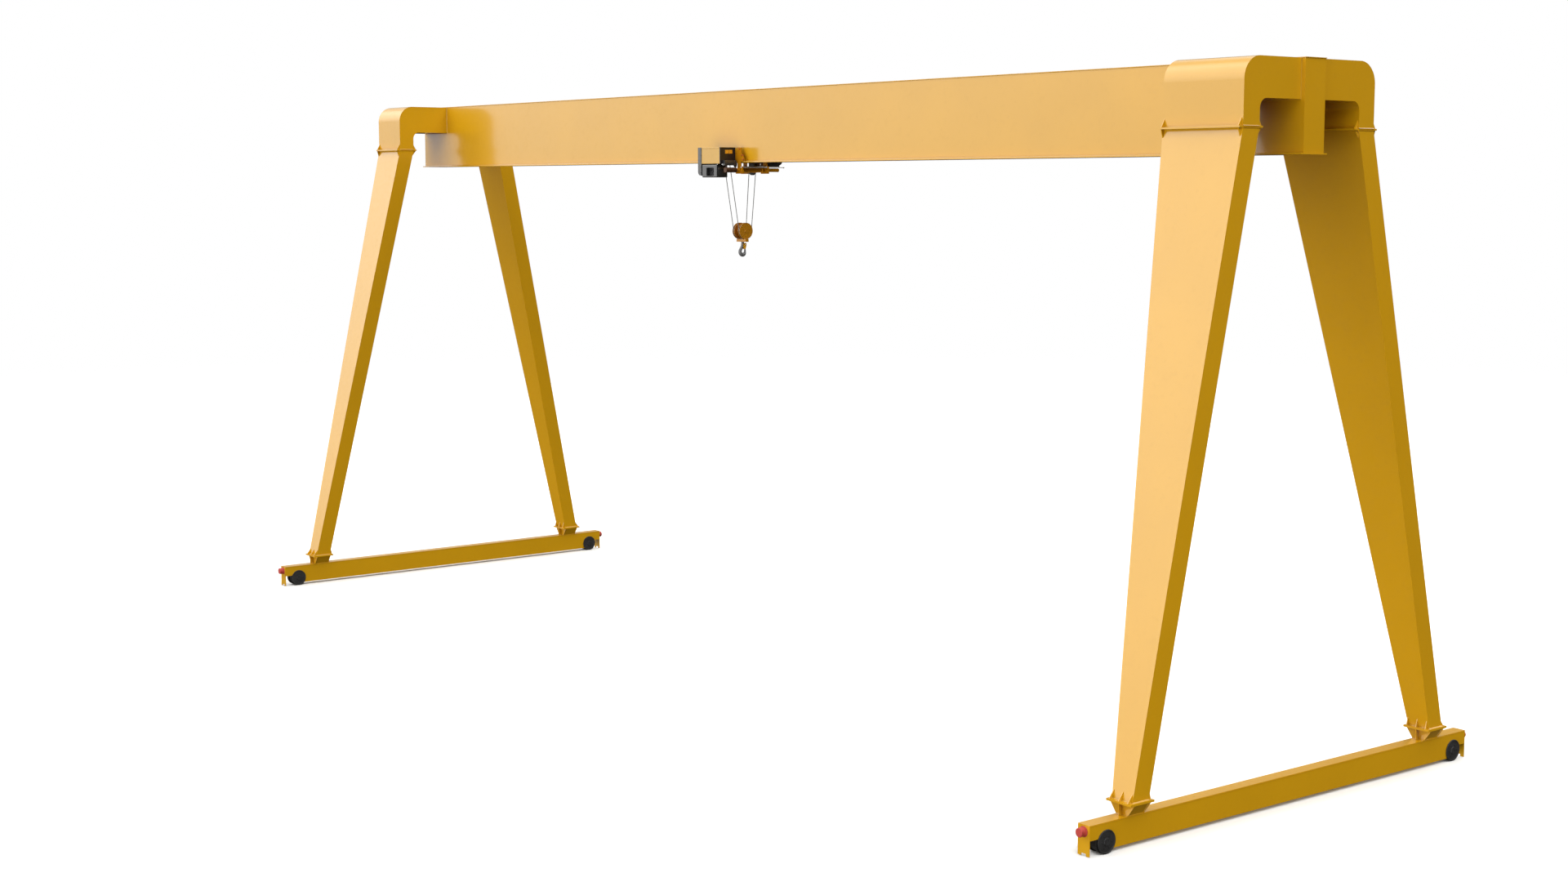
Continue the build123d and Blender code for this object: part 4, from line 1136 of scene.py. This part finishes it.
@piece("hook_block", "block_paint")
def block_trim(shape):
    """The rims, axle ends and bolts on the two outer faces of the hook block."""
    outer = block_cover_radius - 0.001
    inner = block_cover_radius - 0.012
    for way, x in ends("block_covers"):
        face = (x, block_place.y, block_z)
        shape.rim(face, way, inner, outer, rise=0.002, bevel=0.002)
        shape.lathe(block_hub, face, (way, 0, 0), 40)
        shape.bolt_ring(face, way, circle=0.046, count=4, size=0.007, turn=0.5)


@piece("hook_block", "block_paint", "painted_shade_brown")
def block_shade_discs(shape):
    """Dark brown discs on the inner faces of the block's two sheave housings: painted shade for the shadow
    between them.
    """
    for way, x in ((1, block_x[0] + block_unit_half), (-1, block_x[1] - block_unit_half)):
        face = (x, block_place.y, block_z)
        shape.disc(radius=0.1190, length=0.0015, origin=face, axis=(way, 0, 0), sides=64)


# The hook's bar sizes are (sideways, other) half sizes
hook_radius = 0.050
hook_back = radians(150)
hook_back_bend = 0.060
hook_bar = 0.019
hook_tip_y = 0.043
hook_tip_rise = 0.060
hook_tip_straight = 0.85
hook_tip_taper = 0.7
hook_tip_end = ((0.96, 0.75), (1.0, 0.25))
hook_shank_size = (0.0185, 0.0185)
hook_back_size = (0.0235, 0.0250)
hook_back_growth = 0.5
hook_saddle_size = (0.0275, 0.0310)
hook_throat_size = (0.0165, 0.0165)
hook_tip_size = (0.0110, 0.0105)
hook_saddle_lift = 0.005
hook_shank_gap = 0.0005
shank_radius = 0.0165
shank_overlap = 0.02
nut_gap = 0.0005
nut_foot = (0.030, 0.008)
nut_radius = 0.032
nut_top = (0.029, 0.003)
shank_collar = ((0, 0), (0.024, 0), (0.026, 0.004), (0.024, 0.010), (0, 0.010))
shank_collar_drop = 0.0105
lug_half = 0.010


def between(first, second, share):
    """A pair of sizes part of the way from one pair to another."""
    return tuple(a + (b - a) * share for a, b in zip(first, second))


def hook_line():
    """The hook's centre line in (y, z) with the bar's two half sizes at each point."""
    bowl_z = span("hook", 2)[0] + hook_radius + hook_bar
    shank_z = span("block_crosshead", 2)[0] - hook_shank_gap
    back_y = hook_radius * cos(hook_back)
    back_z = bowl_z + hook_radius * sin(hook_back)
    corner_z = back_z + back_y * cos(hook_back) / sin(hook_back)
    lean = atan2(-back_y, corner_z - back_z)
    cut = hook_back_bend * (1 - cos(lean)) / sin(lean)
    line = [((0, shank_z), hook_shank_size)]
    for share in evenly(0, 1, 9):
        a = lean * share
        place = (-hook_back_bend * (1 - cos(a)), corner_z + cut - hook_back_bend * sin(a))
        line.append((place, between(hook_shank_size, hook_back_size, share * hook_back_growth)))
    for share in evenly(0, 1, 33):
        a = hook_back + (2 * pi - hook_back) * share
        swell = sin(pi * share)
        reach = hook_radius - hook_saddle_lift * swell
        size = between(hook_back_size, hook_throat_size, share)
        sideways = cos(a) * (reach if cos(a) < 0 else reach - (hook_radius - hook_tip_y) * cos(a))
        line.append(((sideways, bowl_z + reach * sin(a)), between(size, hook_saddle_size, swell)))
    for share in evenly(0, 1, 10)[1:]:
        size = between(hook_throat_size, hook_tip_size, share ** hook_tip_taper)
        line.append(((hook_tip_y, bowl_z + hook_tip_rise * share * hook_tip_straight), size))
    for rise, share in hook_tip_end:
        line.append(((hook_tip_y, bowl_z + hook_tip_rise * rise), between((0, 0), hook_tip_size, share)))
    return line


def latch_pivot():
    """The latch's pin, from its joint."""
    joint = next(j for j in frame["joints"] if j["name"] == "latch_pivot")
    return Vector(joint["pos_m"])


@piece("hook", "hook_steel", stands_for="hook")
def forged_hook(shape):
    """The hook as forged: thick at the saddle, tapered to its tip, with the shank, nut and latch lug."""
    x = middle("hook").x
    line = hook_line()
    shape.tube([(x, y, z) for (y, z), size in line], [size for place, size in line], 20, right)
    low_z, top_z = span("block_crosshead", 2)
    high_z = span("hook", 2)[1]
    height = high_z - top_z
    shape.disc(shank_radius, high_z - low_z + shank_overlap, (x, 0, low_z - shank_overlap), up)
    nut = [(0, nut_gap), (nut_foot[0], nut_gap), nut_foot, (nut_radius, nut_foot[1])]
    nut += [(nut_radius, height - nut_top[1]), (nut_top[0], height), (0, height)]
    shape.lathe(nut, (x, 0, top_z), up, 6)
    shape.lathe(shank_collar, (x, 0, low_z - shank_collar_drop), up, 32)
    lug_x = middle("hook_latch").x - lug_half
    pivot = latch_pivot()
    lug_high = (lug_x + 2 * lug_half, pivot.y, pivot.z + lug_half)
    shape.block((lug_x, 0.0, pivot.z - lug_half), lug_high, edge=0.0015)
    shape.disc(lug_half, 2 * lug_half, (lug_x, pivot.y, pivot.z), right)


shell_inner = 0.0262
shell_outer = 0.0292
shell_front_y = 0.051
shell_top_y = 0.006
shell_back = (-0.012, 0.014)
shell_low_back = (-0.004, -0.032)
shell_top_rise = 0.028
shell_waist_drop = 0.012
shell_end_drop = 0.062
shell_end_y = (0.018, 0.036)
shell_plate = 0.003
pin_head = ((0, 0), (0.0065, 0), (0.0065, 0.002), (0.004, 0.004), (0, 0.004))


@piece("hook_latch", "latch_paint")
def latch_shell(shape):
    """The pressed latch: two cheeks astride the hook's neck and a folded front that narrows to the tip."""
    pivot = latch_pivot()
    top = pivot.z + shell_top_rise
    end = pivot.z - shell_end_drop
    fold = [(shell_front_y, top), (shell_front_y, pivot.z - shell_waist_drop), (shell_end_y[1], end)]
    cheek = [(shell_top_y, top), *fold, (shell_end_y[0], end)]
    cheek += [(y, pivot.z + rise) for y, rise in (shell_low_back, shell_back)]
    for side in (-1, 1):
        shape.prism(cheek, (pivot.x + side * shell_inner, pivot.x + side * shell_outer))
    inside = [(y - shell_plate, z) for y, z in reversed(fold)]
    shape.prism(fold + inside, (pivot.x - shell_inner, pivot.x + shell_inner))


@piece("hook_latch", "latch_paint", "bright")
def latch_pin(shape):
    """The heads of the latch's pin."""
    pivot = latch_pivot()
    for way in (-1, 1):
        shape.lathe(pin_head, (pivot.x + way * shell_outer, pivot.y, pivot.z), (way, 0, 0), 18)


bpy.context.scene.view_settings.view_transform = "Standard"
